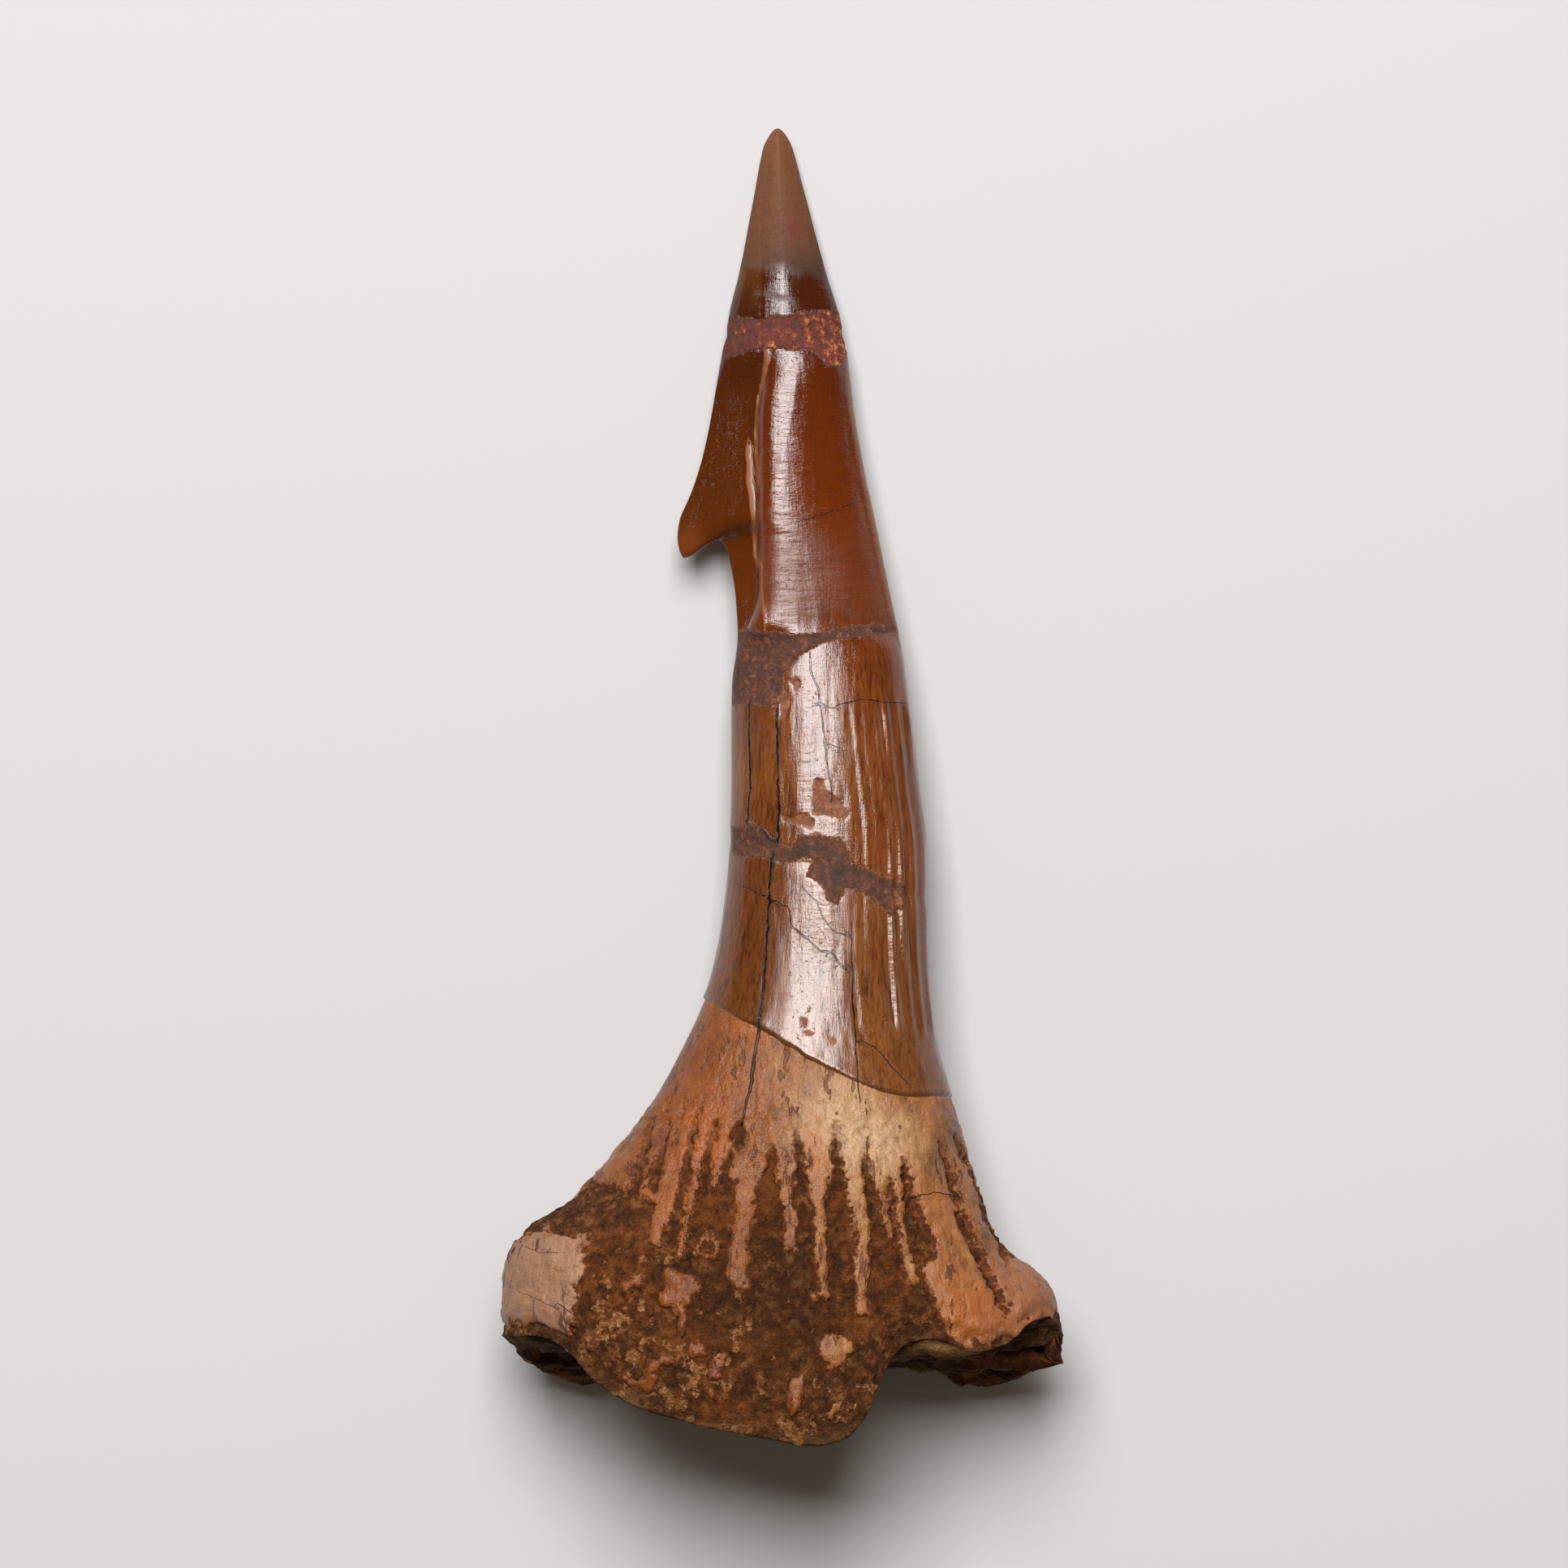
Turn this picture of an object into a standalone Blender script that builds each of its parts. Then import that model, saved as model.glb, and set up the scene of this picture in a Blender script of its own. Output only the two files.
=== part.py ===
"""Fossil rostral tooth of a sawfish, lying on its back with the tip towards +Y.

The tooth is one solid: a slim oval shaft with a backward barb on its left edge,
a glossy crown that ends at a slanting collar, and a root that flares into a
fluted foot with a broken, hollow underside. The root and the tip touch the
surface that it lies on, and the root is worn flat there.

Lengths are in millimetres up to the last step, which turns them to metres.
X runs across the tooth, Y along it and Z up. The origin is under the middle.
"""

import math

import bpy
import numpy as np

MM = 0.001

# Driving dimensions
LENGTH = 60.0
TIP_Y = LENGTH / 2
TIP_ROUND = 2.2  # length of the rounded end of the crown
TIP_HALF_DEPTH = 0.72
ROOT_END = -25.2  # where the two side edges of the root end
ROOT_HALF_DEPTH = 6.25
WORN_DEPTH = 0.7  # how much of the root's back is worn away flat
COLLAR_STEP = 0.16  # thickness of the crown's layer over the root
UPPER_BREAK = 0.1  # depth of the healed break near the tip
LOWER_BREAK = 0.08  # depth of the break across the middle of the shaft
SEDIMENT_STEP = 0.28  # how far the sediment lies below the bone
LUMP_HEIGHT = 0.06  # of each wave in the sediment's uneven surface

# Fineness of the loft
ROOT_COLUMNS = 144
CROWN_SKIP = 3  # the crown uses every third column
COLUMN_SPREAD = 0.12  # evens the columns out across the flat faces

# Left edge: row, x, y. A row's left end leaves the row only round the barb.
LEFT_EDGE = [
    (27.9, -1.19, 27.9),
    (23.4, -2.05, 23.4),
    (19.5, -2.87, 19.5),
    (16.5, -3.39, 16.5),
    (15.04, -3.72, 15.04),
    (13.75, -4.17, 13.55),
    (13.2, -4.47, 12.8),
    (12.75, -4.76, 12.06),
    (12.35, -4.84, 11.31),
    (12.05, -4.58, 10.44),
    (11.85, -4.09, 10.65),
    (11.65, -3.57, 11.02),
    (11.4, -3.01, 11.25),
    (11.0, -2.61, 10.87),
    (10.5, -2.5, 10.45),
    (9.9, -2.38, 9.9),
    (8.4, -2.17, 8.4),
    (6.8, -2.09, 6.8),
    (4.6, -2.33, 4.6),
    (-2.8, -2.46, -2.8),
    (-6.5, -2.83, -6.5),
    (-9.5, -3.54, -9.5),
    (-12.5, -4.91, -12.5),
    (-15.5, -6.66, -15.5),
    (-18.5, -9.5, -18.5),
    (-20.7, -12.2, -20.7),
    (-21.9, -12.72, -21.9),
    (-24.0, -12.9, -24.0),
    (ROOT_END, -12.9, ROOT_END),
]
BARB_ROWS = (15.04, 9.9)  # between these rows the left end of a row leaves the row
BARB_ROOT_X = -1.4  # the rows bend towards the barb from here leftwards
# Left edge as it would run without the barb, for an even loft: row, x
PLAIN_LEFT = [(16.5, -3.39), (14.5, -3.25), (12.5, -2.9), (11.0, -2.61), (9.9, -2.38)]
# Right edge: row, x
RIGHT_EDGE = [
    (27.9, 0.74),
    (23.4, 1.96),
    (21.0, 2.64),
    (16.5, 3.31),
    (10.6, 4.47),
    (4.6, 5.62),
    (0.0, 6.16),
    (-2.8, 6.48),
    (-7.3, 6.55),
    (-11.0, 6.85),
    (-14.2, 7.63),
    (-17.7, 8.67),
    (-20.7, 9.94),
    (-23.7, 12.17),
    (ROOT_END, 12.9),
]
# Half of the depth, front to back: row, half depth
HALF_DEPTH = [
    (TIP_Y - TIP_ROUND, TIP_HALF_DEPTH),
    (24.9, 0.99),
    (21.9, 1.27),
    (16.5, 1.75),
    (10.0, 2.2),
    (2.0, 2.7),
    (-6.0, 3.0),
    (-10.0, 3.25),
    (-13.0, 3.75),
    (-18.0, 5.15),
    (-21.0, 5.9),
    (-24.0, ROOT_HALF_DEPTH),
    (ROOT_END, ROOT_HALF_DEPTH - 0.35),
]
# Where the round shaft starts beside the thin blade that carries the barb: row, x
SHAFT_LEFT = [
    (24.0, -2.1),
    (21.5, -1.7),
    (19.0, -0.95),
    (16.5, -1.2),
    (9.0, -1.2),
    (7.4, -1.6),
    (5.5, -2.3),
]
BLADE_ROWS = (23.0, 5.5)
BLADE_HALF_DEPTH = 0.8
CARINA_WIDTH = 0.35  # the cutting edge along the right side of the crown

# Lower rim of the root seen from above: x, y. It has a deep notch on the right.
FRONT_RIM = [
    (-12.9, ROOT_END),
    (-11.5, -25.1),
    (-10.3, -25.5),
    (-9.3, -26.5),
    (-7.7, -27.8),
    (-4.3, -28.95),
    (-0.6, -29.7),
    (1.3, -TIP_Y),
    (2.8, -29.65),
    (3.7, -28.7),
    (4.4, -27.4),
    (5.2, -26.1),
    (6.1, -25.35),
    (7.0, -25.2),
    (8.9, -25.75),
    (10.2, -25.4),
    (11.4, -24.4),
    (12.2, -24.2),
    (12.9, ROOT_END),
]
BACK_RIM = [
    (-12.9, ROOT_END),
    (-11.8, -26.6),
    (-10.3, -27.3),
    (-7.5, -27.8),
    (-2.5, -28.7),
    (1.5, -29.4),
    (3.2, -28.9),
    (4.4, -27.3),
    (5.2, -26.1),
    (6.1, -25.7),
    (7.0, -26.1),
    (7.8, -27.0),
    (9.3, -27.65),
    (10.6, -27.4),
    (11.6, -26.8),
    (12.7, -26.1),
    (12.9, ROOT_END),
]
# How the loft's lines fan out in the root, along its furrows: share across at
# the top of the root, share across at the bottom
FAN = [
    (-1, -1),
    (-0.71, -0.4),
    (-0.13, 0.0),
    (0.25, 0.27),
    (0.62, 0.6),
    (0.855, 0.84),
    (1, 1),
]
FAN_ROWS = (-13.5, -20.5)
WARP_START = -16.0  # above this row the rows stay level
WARP_POWER = 1.6
HOLLOW_ROUGHNESS = 2.0  # unevenness of the broken underside, against that of the sediment
HOLLOW_MIDDLE = (-0.8, -26.3)  # x and y of the deepest point of the underside
# Rings of the underside: share of the way in from the rim, and the share of the rim's reach left
HOLLOW_RINGS = [(0.05, 0.96), (0.17, 0.72), (0.4, 0.3), (0.7, 0.06)]

# Lower edge of the glossy crown: x, y on the front and on the back
COLLAR_FRONT = [
    (-3.6, -9.8),
    (-2.3, -10.5),
    (1.3, -12.5),
    (4.0, -13.9),
    (5.4, -14.2),
    (7.6, -14.3),
]
COLLAR_BACK = [(-3.6, -9.8), (0.0, -11.4), (3.5, -12.6), (7.6, -14.3)]

# Furrows of the front: x and y of the upper end, of the lower end, half width, depth
FRONT_FURROWS = [
    (-5.7, -15.1, -7.3, -18.6, 0.36, 0.34),
    (-3.7, -13.6, -5.4, -20.9, 0.42, 0.4),
    (-2.7, -15.4, -3.9, -20.9, 0.42, 0.42),
    (-2.0, -16.0, -2.7, -20.4, 0.36, 0.3),
    (-0.5, -16.2, -0.9, -20.8, 0.5, 0.48),
    (0.6, -15.9, 0.95, -21.0, 0.42, 0.42),
    (2.4, -16.2, 2.7, -23.6, 0.5, 0.46),
    (3.8, -16.8, 4.6, -21.9, 0.42, 0.42),
    (5.35, -16.6, 7.3, -24.2, 0.48, 0.52),
    (7.0, -16.0, 10.1, -23.9, 0.34, 0.44),
]
# Broad valley that runs down to the notch in the rim
NOTCH_VALLEY = (5.0, -19.5, 5.9, -26.0, 1.7, 0.8)
BACK_FURROWS = 12
BACK_FURROW_TOP = -15.6
BACK_FURROW_END = -21.4

# Bone that stands above the sediment low on the front: x, y, x, y, half width
FRONT_BONE = [
    (-6.6, -15.5, -7.5, -18.3, 0.4),
    (-4.6, -15.4, -5.8, -20.7, 0.45),
    (-3.6, -15.2, -4.5, -19.7, 0.42),
    (-1.4, -16.0, -2.05, -20.6, 0.45),
    (-2.05, -20.6, -1.8, -22.8, 0.5),
    (0.05, -16.0, 0.37, -21.0, 0.32),
    (1.4, -17.0, 1.9, -23.0, 0.36),
    (3.3, -17.0, 3.5, -22.0, 0.45),
    (3.5, -22.0, 3.5, -24.4, 0.25),
    (4.55, -17.5, 4.8, -20.4, 0.3),
    (5.0, -18.0, 6.0, -22.6, 0.34),
    (-11.9, -20.6, -9.6, -20.4, 1.1),
    (-11.6, -23.2, -10.8, -22.6, 1.4),
    (-5.35, -21.9, -5.0, -23.9, 0.3),
    (-4.4, -22.8, -3.8, -22.7, 0.38),
    (2.3, -25.7, 2.3, -25.9, 0.6),
    (0.65, -27.0, 0.65, -27.9, 0.35),
    (-6.6, -26.9, -5.1, -26.1, 0.36),
]
BONE_LINE = [  # above this line all the surface is bone: x, y
    (-12.9, -19.0),
    (-8.2, -18.4),
    (-6.4, -16.4),
    (-3.0, -16.6),
    (2.0, -17.4),
    (5.0, -18.0),
    (6.3, -22.5),
    (7.3, -25.6),
    (12.9, -28.0),
]
BACK_BONE_LINE = [
    (-12.9, -20.0),
    (-9.0, -21.0),
    (-6.5, -26.0),
    (-5.0, -32.0),
    (6.0, -32.0),
    (7.5, -26.5),
    (9.5, -22.5),
    (12.9, -22.0),
]


def curve(points, at):
    """Smooth curve through (position, value) points, which never overshoots them."""
    x, y = np.array(sorted(points), float).T
    step = np.diff(x)
    slope = np.diff(y) / step
    tangent = np.zeros(len(x))
    same_way = slope[1:] * slope[:-1] > 0
    w1 = 2 * step[1:] + step[:-1]
    w2 = step[1:] + 2 * step[:-1]
    with np.errstate(divide="ignore", invalid="ignore"):
        mean = (w1 + w2) / (w1 / slope[:-1] + w2 / slope[1:])
    tangent[1:-1] = np.where(same_way, mean, 0.0)
    tangent[0], tangent[-1] = slope[0], slope[-1]
    at = np.asarray(at, float)
    inside = np.clip(at, x[0], x[-1])
    i = np.clip(np.searchsorted(x, inside, side="right") - 1, 0, len(x) - 2)
    t = (inside - x[i]) / step[i]
    h00 = (1 + 2 * t) * (1 - t) ** 2
    h10 = t * (1 - t) ** 2
    h01 = t * t * (3 - 2 * t)
    h11 = t * t * (t - 1)
    return h00 * y[i] + h10 * step[i] * tangent[i] + h01 * y[i + 1] + h11 * step[i] * tangent[i + 1]


def ease(value, low, high):
    """0 below low, 1 above high, and a smooth rise between them."""
    t = np.clip((value - low) / (high - low), 0, 1)
    return t * t * (3 - 2 * t)


def row_heights():
    """Rows from the tip to the end of the root, close together round the tip and the barb."""
    tip = TIP_Y - TIP_ROUND * (1 - np.cos(np.linspace(0, math.pi / 2, 6)[1:]))
    crown = np.linspace(26.5, 17.5, 7)
    barb = [row for row, x, y in LEFT_EDGE if BARB_ROWS[1] <= row <= 16.5]
    shaft = np.linspace(8.6, -9.4, 12)
    collar = np.linspace(-10.1, -14.7, 7)
    root = np.linspace(-15.4, ROOT_END, 14)
    return np.concatenate([tip, crown, barb, shaft, collar, root])


def tip_taper(rows):
    """Rounds the last stretch of the crown off to a point."""
    into = np.clip((rows - (TIP_Y - TIP_ROUND)) / TIP_ROUND, 0, 1)
    return np.sqrt(1 - into**2)


def middle_height(rows):
    """Height of the tooth's middle plane, which falls from the thick root to the tip."""
    tip_row = TIP_Y - TIP_ROUND
    root_row = -23.5
    fall = (ROOT_HALF_DEPTH - WORN_DEPTH - TIP_HALF_DEPTH) / (tip_row - root_row)
    return TIP_HALF_DEPTH + (tip_row - rows) * fall


def half_ellipse(x, middle, half_width, half_depth):
    inside = np.clip(1 - ((x - middle) / half_width) ** 2, 0, 1)
    return half_depth * np.sqrt(inside)


def side_surface(rows, columns):
    """Grid of points round the tooth, from the tip to the root's rim.

    Each row is a section: a round shaft, with a thin blade beside it that
    reaches the left edge. The two are joined by a smooth maximum. The lowest
    rows bend down to meet the rim.
    """
    turn = np.arange(columns) * 2 * math.pi / columns
    turn = turn + COLUMN_SPREAD * np.sin(2 * turn)
    across, side = np.cos(turn)[None, :], np.sin(turn)[None, :]
    row = rows[:, None]
    taper = tip_taper(row)
    left = curve([(r, x) for r, x, y in LEFT_EDGE], row)
    left_y = curve([(r, y) for r, x, y in LEFT_EDGE], row)
    left_y = np.where((row > BARB_ROWS[0]) | (row < BARB_ROWS[1]), row, left_y)
    right = curve(RIGHT_EDGE, row)
    middle, half = (left + right) / 2, (right - left) / 2 * taper
    fan = 1 - ease(row, FAN_ROWS[1], FAN_ROWS[0])
    x = middle + half * (across + (curve(FAN, across) - across) * fan)
    plain = curve(PLAIN_LEFT, row)
    plain_x = (plain + right) / 2 + (right - plain) / 2 * across
    stretch = (BARB_ROOT_X - left) / (BARB_ROOT_X - plain)
    barb_x = np.where(plain_x < BARB_ROOT_X, BARB_ROOT_X + (plain_x - BARB_ROOT_X) * stretch, plain_x)
    x = np.where((row < 16.5) & (row > BARB_ROWS[1]), barb_x, x)
    depth = curve(HALF_DEPTH, row) * taper

    in_blade = ease(row, BLADE_ROWS[1], BLADE_ROWS[1] + 2) * (1 - ease(row, BLADE_ROWS[0] - 3, BLADE_ROWS[0]))
    shaft_left = left + (curve(SHAFT_LEFT, row) - left) * in_blade
    shaft_right = right - CARINA_WIDTH * in_blade
    shaft_middle, shaft_half = (shaft_left + shaft_right) / 2, (shaft_right - shaft_left) / 2
    shaft = half_ellipse(x, shaft_middle, shaft_half, depth)
    blade = half_ellipse(x, middle, half, BLADE_HALF_DEPTH)
    whole = half_ellipse(x, middle, half, depth)
    joined = (shaft**3 + np.minimum(blade, depth) ** 3) ** (1 / 3)
    thick = np.where(in_blade > 0, in_blade * joined + (1 - in_blade) * whole, whole)

    reach = np.clip((BARB_ROOT_X - x) / (BARB_ROOT_X - np.minimum(left, BARB_ROOT_X - 0.3)), 0, 1)
    y = row + (left_y - row) * reach**1.7
    rim = np.where(side >= 0, curve(FRONT_RIM, x), curve(BACK_RIM, x))
    warp = np.clip((WARP_START - row) / (WARP_START - ROOT_END), 0, 1) ** WARP_POWER
    y = y + (rim - ROOT_END) * warp
    z = middle_height(row) + np.where(side >= 0, thick, -thick)
    z[:, 0] = z[:, columns // 2] = middle_height(rows)
    return np.stack([x, y, z], axis=2), side


def normals(grid):
    """Unit normals of the grid, pointing outwards."""
    round_it = np.roll(grid, -1, axis=1) - np.roll(grid, 1, axis=1)
    along = np.gradient(grid, axis=0)
    normal = np.cross(round_it, along)
    return normal / np.maximum(np.linalg.norm(normal, axis=2, keepdims=True), 1e-9)


def to_segment(x, y, x1, y1, x2, y2):
    """Distance from (x, y) to a straight segment, and the share of the way along it."""
    dx, dy = x2 - x1, y2 - y1
    share = ((x - x1) * dx + (y - y1) * dy) / (dx * dx + dy * dy)
    near = np.clip(share, 0, 1)
    return np.hypot(x - x1 - near * dx, y - y1 - near * dy), share


def furrows(x, y, tracks):
    """Depth cut by straight tapering furrows."""
    cut = np.zeros_like(x)
    for x1, y1, x2, y2, half_width, depth in tracks:
        away, share = to_segment(x, y, x1, y1, x2, y2)
        width = half_width * (0.8 + 0.5 * np.clip(share, 0, 1))
        fade = ease(share, -0.05, 0.3) * (1 - ease(share, 0.8, 1.15))
        cut = np.maximum(cut, depth * fade * np.exp(-((away / width) ** 2)))
    return cut


def back_furrow_tracks():
    """Evenly fanned furrows for the back of the root, with a little seeded variation."""
    chance = np.random.default_rng(7)
    tracks = []
    for share in np.linspace(-0.8, 0.82, BACK_FURROWS):
        top = 1.2 + 6.6 * share + chance.uniform(-0.2, 0.2)
        end = 0.2 + 10.6 * share + chance.uniform(-0.3, 0.3)
        rise = chance.uniform(-0.9, 0.9)
        tracks.append((top, BACK_FURROW_TOP + rise, end, BACK_FURROW_END + rise, 0.36, 0.42))
    return tracks


def bone_cover(x, y, front):
    """1 where bone shows and 0 where sediment covers the root."""
    line = np.where(front, curve(BONE_LINE, x), curve(BACK_BONE_LINE, x))
    cover = ease(y - line, -0.25, 0.25)
    for x1, y1, x2, y2, half_width in FRONT_BONE:
        away, _ = to_segment(x, y, x1, y1, x2, y2)
        cover = np.maximum(cover, front * ease(half_width - away, -0.12, 0.12))
    return cover


def lumps(x, y, z):
    """Low uneven swellings, from waves that run in seeded directions."""
    chance = np.random.default_rng(3)
    height = np.zeros_like(x)
    for length in (4.5, 3.1, 2.2, 1.7):
        direction = chance.normal(size=3)
        direction *= 2 * math.pi / length / np.linalg.norm(direction)
        phase = direction[0] * x + direction[1] * y + direction[2] * z + chance.uniform(0, 6)
        height += LUMP_HEIGHT * np.sin(phase)
    return height


def relief(grid, side):
    """Height to add along the normal: furrows, sediment, collar and breaks."""
    x, y = grid[:, :, 0], grid[:, :, 1]
    front = np.broadcast_to(side >= 0, x.shape)
    cut = np.where(front, furrows(x, y, FRONT_FURROWS), furrows(x, y, back_furrow_tracks()))
    sediment = 1 - bone_cover(x, y, front)
    collar = np.where(front, curve(COLLAR_FRONT, x), curve(COLLAR_BACK, x))
    crown_layer = ease(y - collar, -0.1, 0.25) * (1 - ease(y - collar, 0.5, 5.0))
    upper_break = np.exp(-(((y - 20.7) / 0.6) ** 2))
    lower_break = np.exp(-(((y + 2.6 + 0.3 * (x + 2.3)) / 0.35) ** 2))
    height = COLLAR_STEP * crown_layer - np.maximum(cut, SEDIMENT_STEP * sediment)
    height -= UPPER_BREAK * upper_break + LOWER_BREAK * lower_break
    away, share = to_segment(x, y, *NOTCH_VALLEY[:4])
    height -= NOTCH_VALLEY[5] * ease(share, 0, 0.8) * np.exp(-((away / NOTCH_VALLEY[4]) ** 2))
    height += sediment * lumps(x, y, grid[:, :, 2])
    return height


def underside(rim):
    """Rings from the rim in to the middle, which is hollowed towards the tip."""
    middle = np.array([*HOLLOW_MIDDLE, middle_height(ROOT_END) + 0.2])
    even_rim = np.mean([np.roll(rim, step, axis=0) for step in range(-5, 6)], axis=0)
    rings = []
    for share, left in HOLLOW_RINGS:
        start = rim + (even_rim - rim) * ease(share, 0.05, 0.4)
        ring = start + (middle - start) * share
        ring[:, 1] = middle[1] + (start[:, 1] - middle[1]) * left
        ring[:, 1] += HOLLOW_ROUGHNESS * lumps(ring[:, 0], ring[:, 1] * 0, ring[:, 2])
        rings.append(ring)
    return rings, middle


def loft(name, rings, first, last):
    """Skins rings of points, closed at each end by a single point.

    A ring may have fewer points than the next one, by a whole factor. Each of
    its edges is then joined to several edges of the next ring by one face.
    """
    points = [first]
    starts = []
    for ring in rings:
        starts.append(len(points))
        points.extend(ring)
    points.append(last)
    faces = []
    count = len(rings[0])
    for i in range(count):
        faces.append((0, starts[0] + (i + 1) % count, starts[0] + i))
    for ring, following, a, b in zip(rings, rings[1:], starts, starts[1:]):
        n, m = len(ring), len(following)
        factor = max(n, m) // min(n, m)
        for i in range(min(n, m)):
            if m >= n:
                lower = [b + (factor * i + k) % m for k in range(factor + 1)]
                faces.append((a + i, a + (i + 1) % n, *reversed(lower)))
            else:
                upper = [a + (factor * i + k) % n for k in range(factor + 1)]
                faces.append((*upper, b + (i + 1) % m, b + i))
    count = len(rings[-1])
    end = len(points) - 1
    for i in range(count):
        faces.append((starts[-1] + i, starts[-1] + (i + 1) % count, end))
    mesh = bpy.data.meshes.new(name)
    mesh.from_pydata([tuple(float(c) * MM for c in p) for p in points], [], faces)
    mesh.validate()
    return mesh


def fossil_material():
    material = bpy.data.materials.new("fossil_tooth")
    material.use_nodes = True
    shader = material.node_tree.nodes["Principled BSDF"]
    shader.inputs["Base Color"].default_value = (0.28, 0.12, 0.045, 1)
    shader.inputs["Roughness"].default_value = 0.35
    shader.inputs["Metallic"].default_value = 0.0
    return material


def rostral_tooth():
    rows = row_heights()
    grid, side = side_surface(rows, ROOT_COLUMNS)
    grid = grid + normals(grid) * relief(grid, side)[:, :, None]
    grid[:, :, 2] = np.maximum(grid[:, :, 2], 0.0)
    rings = [ring if row < WARP_START + 1 else ring[::CROWN_SKIP] for row, ring in zip(rows, grid)]
    hollow, middle = underside(grid[-1])
    rings += [hollow[0], hollow[1]]
    rings += [ring[::CROWN_SKIP] for ring in hollow[2:]]
    tip = np.array([-0.3, TIP_Y, middle_height(TIP_Y)])
    mesh = loft("rostral_tooth", rings, tip, middle)
    mesh.materials.append(fossil_material())
    mesh.shade_smooth()
    mesh.set_sharp_from_angle(angle=math.radians(50))
    return bpy.data.objects.new("rostral_tooth", mesh)


def main():
    for old in list(bpy.data.objects):
        bpy.data.objects.remove(old)
    collection = bpy.data.collections.new("fossil_sawfish_tooth")
    bpy.context.scene.collection.children.link(collection)
    collection.objects.link(rostral_tooth())


main()
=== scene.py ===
"""Fossil rostral tooth of a sawfish, lying on its back on a pale table.

The tooth is made of three closed shells on one surface. The glossy crown ends
in a thin ledge on the bone of the root, and the sediment fills the furrows of
the bone. Where two shells meet, the higher one shows.

Lengths are in millimetres. X runs across the tooth, Y along it towards the tip,
and Z up. Meshes are turned to metres when they are made.
"""

import functools
import itertools
import math

import bpy
import numpy as np
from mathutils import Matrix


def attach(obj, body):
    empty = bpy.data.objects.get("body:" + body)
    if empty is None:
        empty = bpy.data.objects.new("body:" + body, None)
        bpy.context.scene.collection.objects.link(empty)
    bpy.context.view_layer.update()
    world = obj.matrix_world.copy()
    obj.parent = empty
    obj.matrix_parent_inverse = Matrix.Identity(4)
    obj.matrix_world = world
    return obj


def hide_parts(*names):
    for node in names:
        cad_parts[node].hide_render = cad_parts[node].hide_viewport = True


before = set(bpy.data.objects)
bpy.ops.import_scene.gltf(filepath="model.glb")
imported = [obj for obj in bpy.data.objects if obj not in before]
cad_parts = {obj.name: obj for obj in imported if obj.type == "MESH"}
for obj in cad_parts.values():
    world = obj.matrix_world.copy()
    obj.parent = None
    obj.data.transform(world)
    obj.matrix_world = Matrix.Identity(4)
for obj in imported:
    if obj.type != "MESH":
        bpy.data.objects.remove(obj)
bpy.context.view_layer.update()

MM = 0.001
FAR = 99.0

# Picked points are pixels of the photograph. The tooth's length fixes their size
LENGTH = 60
LENGTH_IN_PIXELS = 1612
PIXEL = LENGTH / LENGTH_IN_PIXELS
# The pixel at the origin
PIXEL_X = 966
PIXEL_Y = 964


def drawn(path):
    """Points picked on the photograph, turned to millimetres."""
    return [(round((x - PIXEL_X) * PIXEL, 2), round((PIXEL_Y - y) * PIXEL, 2)) for x, y in path]


def spots(*picked):
    """Soft spots picked on the photograph, turned to millimetres: x, y and the two radii."""
    return [(*drawn([spot[:2]])[0], *(round(radius * PIXEL, 2) for radius in spot[2:])) for spot in picked]


# Points round a ring, and rings along each shell
CROWN_COLUMNS = 240
CROWN_RINGS = 388
TIP_RINGS = 17
ROOT_COLUMNS = 480
BONE_UNDER_RINGS = 36
CRUST_UNDER_RINGS = 56
RING_CROWDING = 0.12

# Relief of the surfaces
FLUTE_SPACING = 0.5
FLUTE_HEIGHT = 0.11
BREAK_DEPTH = 0.05
FLAKE_DEPTH = 0.035
LIP_HEIGHT = 0.05
LEDGE_HEIGHT = 0.02
UPPER_BREAK_Y = 20.7
LOWER_BREAK_Y = -2.6
BONE_DEPTH = 0.04
RIDGE_HEIGHT = 0.05
CRUST_DEPTH = 0.22
LUMP_SIZE = 1.5
GRAIN_SIZE = 0.4
LUMP_HEIGHT = 0.09
FOOT_LAYER_SIZE = 1.1
FOOT_LEVELS = 4
FOOT_LEDGE_HEIGHT = 0.36

TIP_Y = 30.15
TIP_ROUND = 0.9
TIP_ROW = 27.8
TIP_HALF_DEPTH = 0.72
CROWN_END = -14.9
ROOT_ROW = -23.5
ROOT_END = -25.2
ROOT_HALF_DEPTH = 6.25
WORN_DEPTH = 0.7
# Spans of rows: first, last and how many
BONE_ROWS = ((-8.6, -14.0, 40), (-14.12, ROOT_END, 124))
CRUST_ROWS = ((-13.2, -14.6, 12), (-14.68, ROOT_END, 134))

# Outline, from the tip to the root's end: row, x
LEFT_EDGE = [
    (30.15, -0.65), (29.2, -0.93), (27.9, -1.19), (23.4, -2.05), (21.9, -2.44), (19.5, -2.87),
    (16.5, -3.39), (15.04, -3.72), (13.75, -4.17), (13.2, -4.47), (12.75, -4.76), (12.35, -4.84),
    (12.05, -4.58), (11.85, -4.09), (11.65, -3.57), (11.4, -3.01), (11.0, -2.61), (10.5, -2.5),
    (9.9, -2.38), (8.4, -2.17), (6.8, -2.09), (4.6, -2.33), (-2.8, -2.46), (-6.5, -2.83), (-9.5, -3.54),
    (-12.5, -4.91), (-15.5, -6.66), (-18.5, -9.5), (-20.7, -12.2), (-21.9, -12.72), (-24.0, -12.9),
    (ROOT_END, -12.9),
]
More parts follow.
